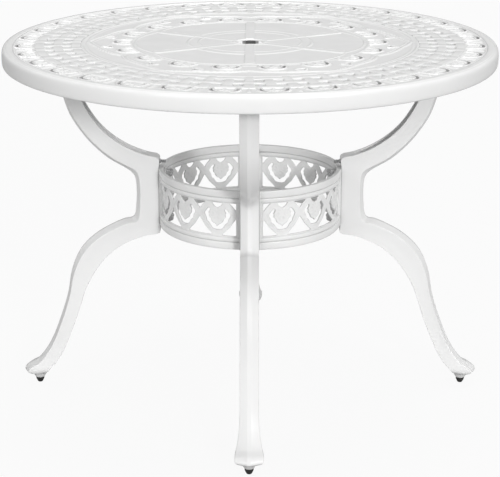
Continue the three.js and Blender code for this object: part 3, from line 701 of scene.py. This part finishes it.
def centre_height(flat):
    radius = np.hypot(flat[:, 0], flat[:, 1])
    across, out = around(flat, BAY_COUNT)
    petal_across, petal_out = around(flat, BAY_COUNT, 0)
    turn = np.abs(np.arctan2(petal_across, petal_out)) / (BAY / 2)
    rise = DISC_STEP / (1 + np.exp((radius - DISC_RADIUS) / STEP_SOFTNESS))
    for line, half_width, height in CENTRE_LINES:
        rise = rise + bead(radius - line, half_width, height)
    rib_gap = np.hypot(across, out - np.clip(out, RIB_START, RIB_END)) - RIB_HALF
    rise = np.maximum(rise, RIB_RISE / (1 + np.exp(rib_gap / RIB_SOFTNESS)))
    rise = rise + bead(rib_gap + 0.4, 1.5, 0.45)
    rise = np.maximum(rise, bead(radius - PETAL_RADIUS + PETAL_DIP * turn ** PETAL_POWER, 2.2, 1.2))
    lip = HOLE_LIP_EDGE - np.minimum(radius, HOLE_LIP_EDGE)
    return np.minimum(GROUND + rise, CREST) - HOLE_LIP_DROP * lip


flat, _ = polar_grid(centre_radii, CENTRE_COLUMNS)
outer_edge, hole_edge = flat[-CENTRE_COLUMNS:], flat[:CENTRE_COLUMNS]
points = np.concatenate([
    lifted(centre_height)(flat), level(SHEET_BOTTOM)(outer_edge),
    level(SHEET_BOTTOM)(hole_edge * BEVEL_RADIUS / HOLE_RADIUS), level(HOLE_UNDERSIDE)(hole_edge),
])
rows = len(points) // CENTRE_COLUMNS
first = np.arange(rows)[:, None] * CENTRE_COLUMNS + np.arange(CENTRE_COLUMNS)
beside, above = np.roll(first, -1, 1), np.roll(first, -1, 0)
corners = np.stack([first, above, np.roll(above, -1, 1), beside], 2).reshape(-1, 4)
centre = piece_from("top_centre", points, corners)
settle(centre, "powder_coat", "frame", "table_top")
print(centre.name, len(centre.data.polygons), "faces")

# %% [markdown]
# ## Rim and bosses
# The rim is a lathe profile: a plain flat border, a fine step, a rounded shoulder and an
# upright apron. Under the top sit the eight bosses that its bolts screw into.

# %% Rim and underside
RIM_PROFILE = (
    (477.5, 738.6), (477.5, 743.2), (478.2, 744.4), (480, 744.95), (484, 745), (490, 745), (491.2, 744.7),
    (491.8, 744.1), (492.8, 744), (494.8, 743.5), (496.6, 742.3), (498, 740.5), (499, 738), (499.6, 734.6),
    (499.9, 730.5), (500, 726), (500, 721.5), (499.8, 716.5), (499.3, 713), (498.4, 711.1), (497, 710.1),
    (495.6, 710.2), (494.5, 711.2), (494, 713), (493.2, 734), (492, 737), (489, 738.6),
)
rim = piece_from("top_rim", *turned(RIM_PROFILE[::-1], 256), sharp_over=50)
settle(rim, "powder_coat", "frame", "table_top")

BOSS_PROFILE = ((NEAR_AXIS, 739), (9, 739), (9, 732), (8.4, 731), (7.4, 730.5), (NEAR_AXIS, 730.5))
BOSS_STEPS = 32
points, faces = turned(BOSS_PROFILE, BOSS_STEPS)
bosses = []
for i in range(len(PLACES)):
    for radius in TOP_BOLT_RADII.values():
        bosses.append((turned_about(points + (radius, 0, 0), i * QUARTER), faces))
under = piece_from("top_bosses", *together(bosses))
settle(under, "powder_coat", "frame", "table_top")
print(rim.name, len(rim.data.polygons), "faces,", len(bosses), "bosses")

# %% [markdown]
# ## Legs
# A leg is one casting: an arm that reaches up under the top, an upright where the ring
# is bolted on, a shin and a foot. Its section is a blunt wedge with hollowed flanks
# and, along the arm and shin, an open channel behind. The stations are those of the solid,
# and smooth ones are put between them. The foot's lowest stations turn round.

# %% Stations of a leg
ARM_SPAN, UPRIGHT_SPAN, SHIN_SPAN = 189.5, 48.0, 265.0
UPRIGHT_BOTTOM, UPRIGHT_TOP = 342.0, 503.0
FLANGE_START, FLANGE_END, FLANGE_HALF, FLANGE_BOTTOM, FLANGE_TOP = 319, 438, 22, 722.2, 730.2
FLANGE_CORNER, FLANGE_EDGE = 16, 1.5
ARM_INTO_FLANGE = 3
LEG_HALF, RIDGE_HALF, FLANK_HOLLOW = 18.5, 4.0, 2
CHANNEL_HALF, CHANNEL_TAPER, CHANNEL_DEPTH, LEAST_DEPTH = 11.5, 0.8, 0.64, 0.002
FLANK_MIDDLE, SHOULDER = 0.42, 0.82
SECTION_RADII = (1.6, 9, 1.4, 1, 1, 1.4, 9, 1.6, 1.2, 3, 3, 1.2)
ARM_SHARES = (
    (0.897, 1, 1.103, 1), (0.887, 0.859, 1.092, 0.868), (0.865, 0.698, 1.066, 0.721),
    (0.818, 0.547, 1.024, 0.57), (0.728, 0.404, 0.96, 0.409), (0.623, 0.285, 0.85, 0.253),
    (0.47, 0.17, 0.718, 0.115), (0.296, 0.083, 0.549, -0.014), (0.127, 0.03, 0.385, -0.096),
    (0, 0, 0.301, -0.147),
)
UPRIGHT_SHARES = ((0, 0.857, 1.02, 0.708), (0, 0.5, 0.985, 0.5), (0, 0.143, 1.06, 0.248))
SHIN_SHARES = (
    (0, 1, 0.223, 1.086), (0.091, 0.985, 0.275, 1.079), (0.204, 0.956, 0.381, 1.042),
    (0.317, 0.912, 0.487, 0.994), (0.419, 0.848, 0.585, 0.93), (0.494, 0.778, 0.649, 0.863),
    (0.555, 0.702, 0.694, 0.787), (0.606, 0.617, 0.721, 0.711), (0.642, 0.529, 0.74, 0.62),
    (0.687, 0.427, 0.774, 0.526), (0.743, 0.316, 0.819, 0.424), (0.796, 0.222, 0.875, 0.313),
)
FOOT_REACH, FOOT_RISE, FOOT_LOW, FOOT_HALF = 31.0, 82.0, 12.0, 27.5
FOOT_SHARES = (
    (-1.29, 0.5, -0.52, 0.78, 0.745, 0.745, 0), (-0.97, 0.36, 0.1, 0.5, 0.89, 0.85, 0),
    (-0.77, 0.28, 0.74, 0.366, 1, 0.9, 0), (-0.645, 0.213, 1, 0.25, 0.98, 0.8, 0),
    (-0.56, 0.165, 0.84, 0.17, 0.86, 0.6, 0.4), (-0.53, 0.12, 0.56, 0.12, 0.62, 0.3, 1),
)
CONE_SHARES = (
    (-0.49, 0.113, 0.51, 0.113, 0.56, 0.3, 1), (-0.4, 0.06, 0.41, 0.06, 0.45, 0.3, 1),
    (-0.306, 0, 0.306, 0, 0.345, 0.16, 1),
)


def rows_of(shares, start, span, bottom, rise):
    """Rows of inner point, outer point, half widths, hollow, channel depth and roundness."""
    rows = np.zeros((len(shares), 9))
    rows[:, :4] = np.array(shares)[:, :4] * (span, rise, span, rise) + (start, bottom, start, bottom)
    return rows


def stretch(shares, span, bottom, rise, channel):
    rows = rows_of(shares, LEG_FACE, span, bottom, rise)
    rows[:, 4:7] = LEG_HALF, LEG_HALF, FLANK_HOLLOW
    rows[2:-2, 7] = channel
    return rows


def foot_rows(shares):
    rows = rows_of(shares, FOOT_RADIUS, FOOT_REACH, FOOT_LOW, FOOT_RISE)
    rows[:, 4:6] = np.array(shares)[:, 4:6] * FOOT_HALF
    rows[:, 8] = np.array(shares)[:, 6]
    return rows


stations = np.concatenate([
    stretch(ARM_SHARES, ARM_SPAN, UPRIGHT_TOP, FLANGE_BOTTOM + ARM_INTO_FLANGE - UPRIGHT_TOP, CHANNEL_DEPTH),
    stretch(UPRIGHT_SHARES, UPRIGHT_SPAN, UPRIGHT_BOTTOM, UPRIGHT_TOP - UPRIGHT_BOTTOM, 0),
    stretch(SHIN_SHARES, SHIN_SPAN, 0, UPRIGHT_BOTTOM, CHANNEL_DEPTH),
    foot_rows(FOOT_SHARES),
])
leg_rows = np.concatenate([through(stations, 3), through(foot_rows(CONE_SHARES), 2)])
print(len(stations), "stations down a leg")


# %% Skin of a leg
def leg_section(row):
    """The ring of points round a leg at one station, from its inner point to its outer one."""
    inner, outer = row[0:2], row[2:4]
    half, inner_half, hollow, channel, roundness = row[4:]
    depth = np.linalg.norm(outer - inner)
    mouth = min(CHANNEL_HALF, inner_half * 0.7)
    open_depth = max(channel, LEAST_DEPTH) * depth
    floor_half = mouth * CHANNEL_TAPER
    corners = [
        (0, -inner_half), (FLANK_MIDDLE * depth, hollow - half), (SHOULDER * depth, -half),
        (depth, -RIDGE_HALF), (depth, RIDGE_HALF),
        (SHOULDER * depth, half), (FLANK_MIDDLE * depth, half - hollow), (0, inner_half),
        (0, mouth), (open_depth, floor_half), (open_depth, -floor_half), (0, -mouth),
    ]
    section = eased(corners, SECTION_RADII)
    turn = np.arctan2(section[:, 1] / half, section[:, 0] / depth * 2 - 1)
    oval = np.stack([depth / 2 * (1 + np.cos(turn)), half * np.sin(turn)], 1)
    section = section + (oval - section) * np.clip(roundness, 0, 1)
    out, up = inner[:, None] + section[:, 0] * ((outer - inner) / depth)[:, None]
    return np.stack([out, section[:, 1], up], 1)


def rounded_block(low, high, corner, edge):
    """A block with rounded upright corners and softened upper and lower edges."""
    (x0, y0, z0), (x1, y1, z1) = low, high
    rings = []
    for inset, height in ((edge, z0), (edge * 0.3, z0 + edge * 0.3), (0, z0 + edge),
                          (0, z1 - edge), (edge * 0.3, z1 - edge * 0.3), (edge, z1)):
        outline = eased([(x0 + inset, y0 + inset), (x1 - inset, y0 + inset),
                         (x1 - inset, y1 - inset), (x0 + inset, y1 - inset)], (corner,) * 4, 7)
        rings.append(np.column_stack([outline, np.full(len(outline), height)]))
    return lofted(rings)


leg_skin = lofted([leg_section(row) for row in leg_rows])
flange = rounded_block((FLANGE_START, -FLANGE_HALF, FLANGE_BOTTOM), (FLANGE_END, FLANGE_HALF, FLANGE_TOP),
                       FLANGE_CORNER, FLANGE_EDGE)
points, faces = together([leg_skin, flange])
for i, place in enumerate(PLACES):
    leg = piece_from(f"leg_{place}_casting", turned_about(points, i * QUARTER), faces, 40, even=True)
    settle(leg, "powder_coat", "frame", f"leg_{place}")
print("a leg has", len(leg.data.polygons), "faces")

# %% [markdown]
# ## Heart panels
# Each quarter of the ring is a cast panel: two moulded rails with three hearts between
# them. It is drawn flat, as sideways and up, cut like the top, and then bent round by
# reading sideways as an angle. Both faces carry the relief.

# %% Shapes in a panel
HEART_COUNT = 3
HEARTS_START = math.asin(27.5 / 188.7)
HEART_PITCH = (QUARTER - 2 * HEARTS_START) / HEART_COUNT
HALF_PITCH = math.tan(HEART_PITCH / 2) * RING_RADIUS
WEB_HEIGHT = RING_HEIGHT - 2 * RAIL_HEIGHT
PANEL_START = math.asin(1.5 / 178.7)
PAD_LEVEL, PAD_HALF = 188.75, 21.0
RAIL_PROFILE = (
    (0, 3.6), (0.8, 4.5), (2, 4.9), (5.5, 5), (9, 4.9), (12.5, 4.6), (14.2, 4.1), (15.2, 2.9),
    (16.2, 3.9), (17.3, 4.6), (19.8, 4.9), (22.3, 4.6), (24, 3.6), (RAIL_HEIGHT, 2.6),
)
RAIL_AT, RAIL_HALF = np.array(RAIL_PROFILE).T
WEB_HALF, END_HALF, END_REACH = 1.7, 3.9, 0.012
WEB_CHAMFER, WEB_DROP = 0.9, 0.7
SCALLOPS, SCALLOP_DEPTH = 7, 0.85
SLOT_TIP_HALF, SLOT_SWELL, TIP_SHARE = 2.5, 2, 0.12
IN_WEB = np.array((HALF_PITCH, WEB_HEIGHT))
MIRRORED = np.array((-1, 1))


def mirrored(half):
    """A line written from its middle outward, made whole."""
    half = np.array(half, float)
    return np.vstack([half[:0:-1] * MIRRORED, half])


HEART_SLOT = through(mirrored((
    (0, 0.245), (0.22, 0.3), (0.4, 0.41), (0.49, 0.49), (0.568, 0.6), (0.552, 0.69), (0.45, 0.765),
)) * IN_WEB, 3)
CLEFT = mirrored(((0, 0.84), (0.16, 0.885), (0.26, 0.965))) * IN_WEB
OVER_SHOULDERS = mirrored(((0, 0.77), (0.15, 0.875), (0.32, 0.965))) * IN_WEB
BESIDE_TIPS = mirrored(((0, 0.5), (0.3, 0.255), (0.69, 0.045))) * IN_WEB
LOBE = np.array((0.24, 0.66)) * IN_WEB


def heart_places(flat):
    """Sideways from the nearest heart and from the nearest gap between two, height, and the gap's number."""
    share = (flat[:, 0] / RING_RADIUS - HEARTS_START) / HEART_PITCH
    nearest = np.clip(np.floor(share), 0, HEART_COUNT - 1) + 0.5
    between = np.clip(np.round(share), 0, HEART_COUNT)
    up = flat[:, 1] - RAIL_HEIGHT
    return (share - nearest) * 2 * HALF_PITCH, (share - between) * 2 * HALF_PITCH, up, between


def heart_slot_gap(x, y):
    gap, along = to_path(x, y, HEART_SLOT)
    from_tip = np.clip(np.minimum(along, 1 - along) / TIP_SHARE, 0, 1)
    scallop = SCALLOP_DEPTH * np.cos(along * SCALLOPS * FULL_TURN) * from_tip
    return gap - (SLOT_TIP_HALF + SLOT_SWELL * from_tip + scallop)


def panel_metal(flat):
    """Openings in a heart, over it and between hearts, the last of them halved by the panel's end."""
    x, beside, y, between = heart_places(flat)
    gap = np.minimum(heart_slot_gap(x, y), to_polygon(x, y, CLEFT, 0.8))
    at_end = (between == 0) | (between == HEART_COUNT)
    outward = np.where(between == 0, -beside, beside)
    for outline, softness in ((OVER_SHOULDERS, 0.8), (BESIDE_TIPS, 1.2)):
        whole = to_polygon(beside, y, outline, softness)
        gap = np.minimum(gap, np.where(at_end, np.maximum(whole, outward), whole))
    return gap


def rail_relief(up):
    """Half thickness of a rail, from its outer edge inward: a broad bead, a groove, a fine bead."""
    return np.interp(up, RAIL_AT, RAIL_HALF)


def panel_half(flat):
    x, beside, y, _ = heart_places(flat)
    up = flat[:, 1]
    rise = bead(heart_slot_gap(x, y) - 2, 1.9, 0.7)
    lobe = np.hypot(np.abs(x) - LOBE[0], y - LOBE[1])
    for arc in (4, 9.5):
        rise = np.maximum(rise, bead(lobe - arc, 1.8, 0.6))
    rise = np.maximum(rise, bead(np.hypot(x, y - 0.36 * WEB_HEIGHT), 3.6, 1))
    groove = to_path(x, y, ((0, 0.52 * WEB_HEIGHT), (0, 0.84 * WEB_HEIGHT)))[0]
    web = WEB_HALF + rise - bead(groove, 2.6, 0.6)
    rail = np.where(up < RAIL_HEIGHT, rail_relief(up), rail_relief(RING_HEIGHT - up))
    in_rail = (up < RAIL_HEIGHT) | (up > RING_HEIGHT - RAIL_HEIGHT)
    angle = flat[:, 0] / RING_RADIUS
    ends = np.minimum(angle, QUARTER - angle) < HEARTS_START - END_REACH
    half = np.where(in_rail, rail, np.where(ends, END_HALF, web))
    return half - sunk(panel_metal(flat), WEB_CHAMFER, WEB_DROP)


def bent(flat, side):
    """Side 1 is the outer face, which has a flat pad where a leg is bolted on, and -1 the inner face."""
    angle = flat[:, 0] / RING_RADIUS
    radius = RING_RADIUS + side * panel_half(flat)
    if side > 0:
        from_leg = np.minimum(angle, QUARTER - angle)
        on_pad = PAD_LEVEL * np.sin(from_leg) < PAD_HALF
        radius = np.where(on_pad, np.maximum(radius, PAD_LEVEL / np.cos(from_leg)), radius)
    return np.column_stack([radius * np.cos(angle), radius * np.sin(angle), RING_BOTTOM + flat[:, 1]])


# %% Cut and bend the panels
PANEL_COLUMNS = 176
WEB_ROWS = np.arange(RAIL_HEIGHT + 1.6, RING_HEIGHT - RAIL_HEIGHT - 1, 1.62)
across = np.linspace(PANEL_START, QUARTER - PANEL_START, PANEL_COLUMNS) * RING_RADIUS
upward = np.concatenate([RAIL_AT, WEB_ROWS, (RING_HEIGHT - RAIL_AT)[::-1]])
up, along = np.meshgrid(upward, across, indexing="ij")
flat = np.stack([along.ravel(), up.ravel()], 1)
triangles = grid_of(len(upward), len(across), False)[:, ::-1]
panel_skin = sheet(flat, triangles, panel_metal, WEB_CHAMFER,
                   lambda flat: bent(flat, 1), lambda flat: bent(flat, -1))

RING_BOLT_SIDE = 10.5
UPPER_BOLT, LOWER_BOLT = 468.5, 372.5
BOSS_END, BOSS_ROOT = 173.2, 182


def radial(part, side, height):
    """A part turned about the upright axis, laid down so that its height points outward."""
    points, faces = part
    return np.stack([points[:, 2], points[:, 1] + side, height - points[:, 0]], 1), faces


boss = turned([
    (NEAR_AXIS, BOSS_END), (6.2, BOSS_END), (6.9, BOSS_END + 0.4), (7.2, BOSS_END + 1.3),
    (7.2, BOSS_ROOT), (NEAR_AXIS, BOSS_ROOT),
], BOSS_STEPS)
bosses = []
for height in (UPPER_BOLT, LOWER_BOLT):
    bosses.append(radial(boss, RING_BOLT_SIDE, height))
    points, faces = radial(boss, -RING_BOLT_SIDE, height)
    bosses.append((turned_about(points, QUARTER), faces))
points, faces = together([panel_skin, *bosses])
for i, place in enumerate(PLACES):
    after = PLACES[(i + 1) % len(PLACES)]
    panel = piece_from(f"ring_{place}_{after}_casting", turned_about(points, i * QUARTER), faces)
    settle(panel, "powder_coat", "frame", f"heart_panel_{place}_{after}")
print("a panel has", len(panel.data.polygons), "faces")

# %% [markdown]
# ## Bolts, studs and glides
# Bolt heads have six sides with the corners turned off, which a plain prism lacks: the
# chamfer cuts each corner lower than the middle of a side. Threads are real ridges too,
# because they show on the studs and, when a glide is screwed out, on its stem. The ring's
# bolts have a polished dome on the head, which is what the eye meets inside the ring.


# %% Fasteners
HEAD_STEPS, THREAD_STEPS, RINGS_A_THREAD = 48, 24, 6
HEAD_RADIUS, HEAD_CHAMFER = 7.5, 1.1
BOLT_RADIUS, BOLT_PITCH, THREAD_DEPTH = 3.9, 1.25, 0.5
TOP_HEAD_END, TOP_HEAD_SEAT, TOP_SHANK_START, TOP_SHANK_END = 716.7, 721.9, 721.5, 738
HEAD_SEAT, HEAD_END, DOME_END, SHANK_END = 172.8, 166.4, 159.4, 208
DOME_RADIUS = 6
STUD_LEVEL, STUD_START, STUD_END = 493, 174.5, 207
STUD_RADIUS, STUD_PITCH, STUD_DEPTH = 3.5, 1.5, 0.6
COLLAR_RADIUS, COLLAR_START, COLLAR_END, COLLAR_CHAMFER = 5.5, 184.7, 188.6, 0.8
STEEL_SHARP = 25


def hex_head(corner_radius, low, high, chamfer):
    """A six-sided head whose face at low is turned to a circle."""
    angles = np.arange(HEAD_STEPS) * FULL_TURN / HEAD_STEPS
    flat_radius = corner_radius * math.cos(math.pi / 6)
    edge = flat_radius / np.cos((angles + math.pi / 6) % (math.pi / 3) - math.pi / 6)
    cut = low + chamfer * (edge - flat_radius) / (corner_radius - flat_radius) + 0.25
    rings = ((flat_radius * 0.93, low), (edge, cut), (edge, high))
    return lofted([circle(radius, height, HEAD_STEPS) for radius, height in rings])


def threaded(radius, low, high, pitch, depth):
    """A rod whose surface is a helical ridge."""
    steps = max(int((high - low) / pitch * RINGS_A_THREAD), 4)
    angles = np.arange(THREAD_STEPS) * FULL_TURN / THREAD_STEPS
    rings = []
    for height in np.linspace(low, high, steps + 1):
        wave = np.abs(((height - low) / pitch - angles / FULL_TURN) % 1 - 0.5) * 2
        end = 1 if low < height < high else 0
        rings.append(circle(radius - depth * (1 - wave * end), height, THREAD_STEPS))
    return lofted(rings)


def bolt_shank(low, high):
    return threaded(BOLT_RADIUS, low, high, BOLT_PITCH, THREAD_DEPTH)


def dome(radius, low, high):
    """A polished cap over a bolt's end, its highest point at low."""
    turns = np.linspace(0, math.pi / 2, 9)[:-1]
    skin = [(radius * math.cos(turn), high - (high - low) * math.sin(turn)) for turn in turns]
    return turned([(NEAR_AXIS, high + 0.5), (radius, high + 0.5), *skin, (NEAR_AXIS, low)], HEAD_STEPS)


def upright_at(part, radius):
    points, faces = part
    return points + (radius, 0, 0), faces


def fasten(name, turn, *parts):
    """One steel piece of these parts, turned to its leg, in the place of the solid of that name."""
    points, faces = together(parts)
    made = piece_from(f"{name}_steel", turned_about(points, turn), faces, STEEL_SHARP)
    settle(made, "dark_steel", "frame", name)


top_head = hex_head(HEAD_RADIUS, TOP_HEAD_END, TOP_HEAD_SEAT, HEAD_CHAMFER)
top_shank = bolt_shank(TOP_SHANK_START, TOP_SHANK_END)
ring_bolt = together([
    hex_head(HEAD_RADIUS, HEAD_END, HEAD_SEAT, HEAD_CHAMFER),
    dome(DOME_RADIUS, DOME_END, HEAD_END),
    bolt_shank(HEAD_SEAT - 0.5, SHANK_END),
])
rod = threaded(STUD_RADIUS, STUD_START, STUD_END, STUD_PITCH, STUD_DEPTH)
collar = hex_head(COLLAR_RADIUS, COLLAR_START, COLLAR_END, COLLAR_CHAMFER)
for i, place in enumerate(PLACES):
    turn = i * QUARTER
    for end, radius in TOP_BOLT_RADII.items():
        fasten(f"top_bolt_{place}_{end}", turn, upright_at(top_head, radius), upright_at(top_shank, radius))
    for row, height in (("upper", UPPER_BOLT), ("lower", LOWER_BOLT)):
        for mark, side in (("a", -RING_BOLT_SIDE), ("b", RING_BOLT_SIDE)):
            fasten(f"ring_bolt_{row}_{place}_{mark}", turn, radial(ring_bolt, side, height))
    fasten(f"ring_stud_{place}", turn, radial(rod, 0, STUD_LEVEL), radial(collar, 0, STUD_LEVEL))
print("a ring bolt has", len(ring_bolt[1]), "faces, a stud", len(rod[1]) + len(collar[1]))

# %% Glides
GLIDE_PROFILE = (
    (NEAR_AXIS, 0), (4.2, 0), (4.8, 0.2), (5.2, 0.7), (7, 4.1), (8.1, 6.4), (8.7, 8), (8.8, 9), (8.8, 10.7),
    (8.5, 11.4), (7.9, 11.7), (NEAR_AXIS, 11.7),
)
STEM_START, STEM_END = 11.5, 41.7
pad = turned(GLIDE_PROFILE, HEAD_STEPS)
stem = bolt_shank(STEM_START, STEM_END)
points, faces = together([upright_at(pad, FOOT_RADIUS), upright_at(stem, FOOT_RADIUS)])
for i, place in enumerate(PLACES):
    glide = piece_from(f"glide_{place}_plastic", turned_about(points, i * QUARTER), faces)
    settle(glide, "black_plastic", f"glide_{place}_body", f"glide_{place}")
print("glides reach", STEM_END, "mm up into the feet")

# %% [markdown]
# ## Floor and studio light
# The photograph was cut out on white. A pale floor keeps a faint shadow of the table, and
# the world is white to the camera but a calm grey as a light. Five soft suns model the
# relief. Lamps near the table would do too, but suns light every view alike. Two of them
# are so low that they reach under the rim, onto the ring's far side. Gloss doesn't show
# those two, or they would leave hard white patches on the shins.

# %% Floor
FLOOR_SIZE, FLOOR_LEVEL = 60, -0.0005
FLOOR_GLOW = 0.93
bpy.ops.mesh.primitive_plane_add(size=FLOOR_SIZE, location=(0, 0, FLOOR_LEVEL))
floor = bpy.context.active_object
floor.name = "studio_floor"
floor_paint, tree, shader = started("studio_floor")
shader.inputs["Roughness"].default_value = 0.9
shader.inputs["Specular IOR Level"].default_value = 0.1
speckle = coloured(tree, noise_of(tree, 3, 2), ((0.3, (0.46, 0.46, 0.46)), (0.7, (0.49, 0.49, 0.49))))
tree.links.new(speckle, shader.inputs["Base Color"])
glow = tree.nodes.new("ShaderNodeEmission")
glow.inputs["Color"].default_value = (1, 1, 1, 1)
ray = tree.nodes.new("ShaderNodeLightPath")
share = tree.nodes.new("ShaderNodeMath")
share.operation = "MULTIPLY"
share.inputs[1].default_value = FLOOR_GLOW
tree.links.new(ray.outputs["Is Camera Ray"], share.inputs[0])
surface = blended(tree, share.outputs[0], shader.outputs[0], glow.outputs[0])
tree.links.new(surface, tree.nodes["Material Output"].inputs["Surface"])
floor.data.materials.append(floor_paint)
print(floor.name, FLOOR_SIZE, "m wide")

# %% World
world = bpy.data.worlds.new("studio")
bpy.context.scene.world = world
world.use_nodes = True
tree = world.node_tree
light = tree.nodes["Background"]
light.inputs["Color"].default_value = (0.37, 0.37, 0.371, 1)
seen = tree.nodes.new("ShaderNodeBackground")
seen.inputs["Color"].default_value = (1, 1, 1, 1)
mirrored_sky = tree.nodes.new("ShaderNodeBackground")
towards = tree.nodes.new("ShaderNodeTexCoord")
split = tree.nodes.new("ShaderNodeSeparateXYZ")
tree.links.new(towards.outputs["Generated"], split.inputs["Vector"])
sky = coloured(tree, split.outputs["Z"], ((0, (0.5, 0.5, 0.5)), (0.7, (1, 1, 1))))
tree.links.new(sky, mirrored_sky.inputs["Color"])
ray = tree.nodes.new("ShaderNodeLightPath")
unseen = blended(tree, ray.outputs["Is Glossy Ray"], light.outputs[0], mirrored_sky.outputs[0])
surface = blended(tree, ray.outputs["Is Camera Ray"], unseen, seen.outputs[0])
tree.links.new(surface, tree.nodes["World Output"].inputs["Surface"])
print(world.name, "has", len(tree.nodes), "nodes")


# %% Suns
def sun(name, elevation, bearing, spread, share, mirrored=True):
    """A soft distant light; share is how bright a white surface facing it would look."""
    data = bpy.data.lights.new(name, "SUN")
    data.angle = math.radians(spread)
    data.energy = share * math.pi
    made = bpy.data.objects.new(name, data)
    made.rotation_euler = (math.radians(90 - elevation), 0, math.radians(bearing))
    made.location = (0, 0, 3)
    made.visible_glossy = mirrored
    bpy.context.scene.collection.objects.link(made)


sun("key_right", 30, 36, 20, 0.2)
sun("low_left", 15, -40, 22, 0.19, mirrored=False)
sun("key_left", 30, -36, 20, 0.04)
sun("low_right", 15, 18, 10, 0.52, mirrored=False)
sun("above", 80, 150, 30, 0.36)
bpy.context.scene.view_settings.view_transform = "Standard"
print("five soft suns and a white surround")
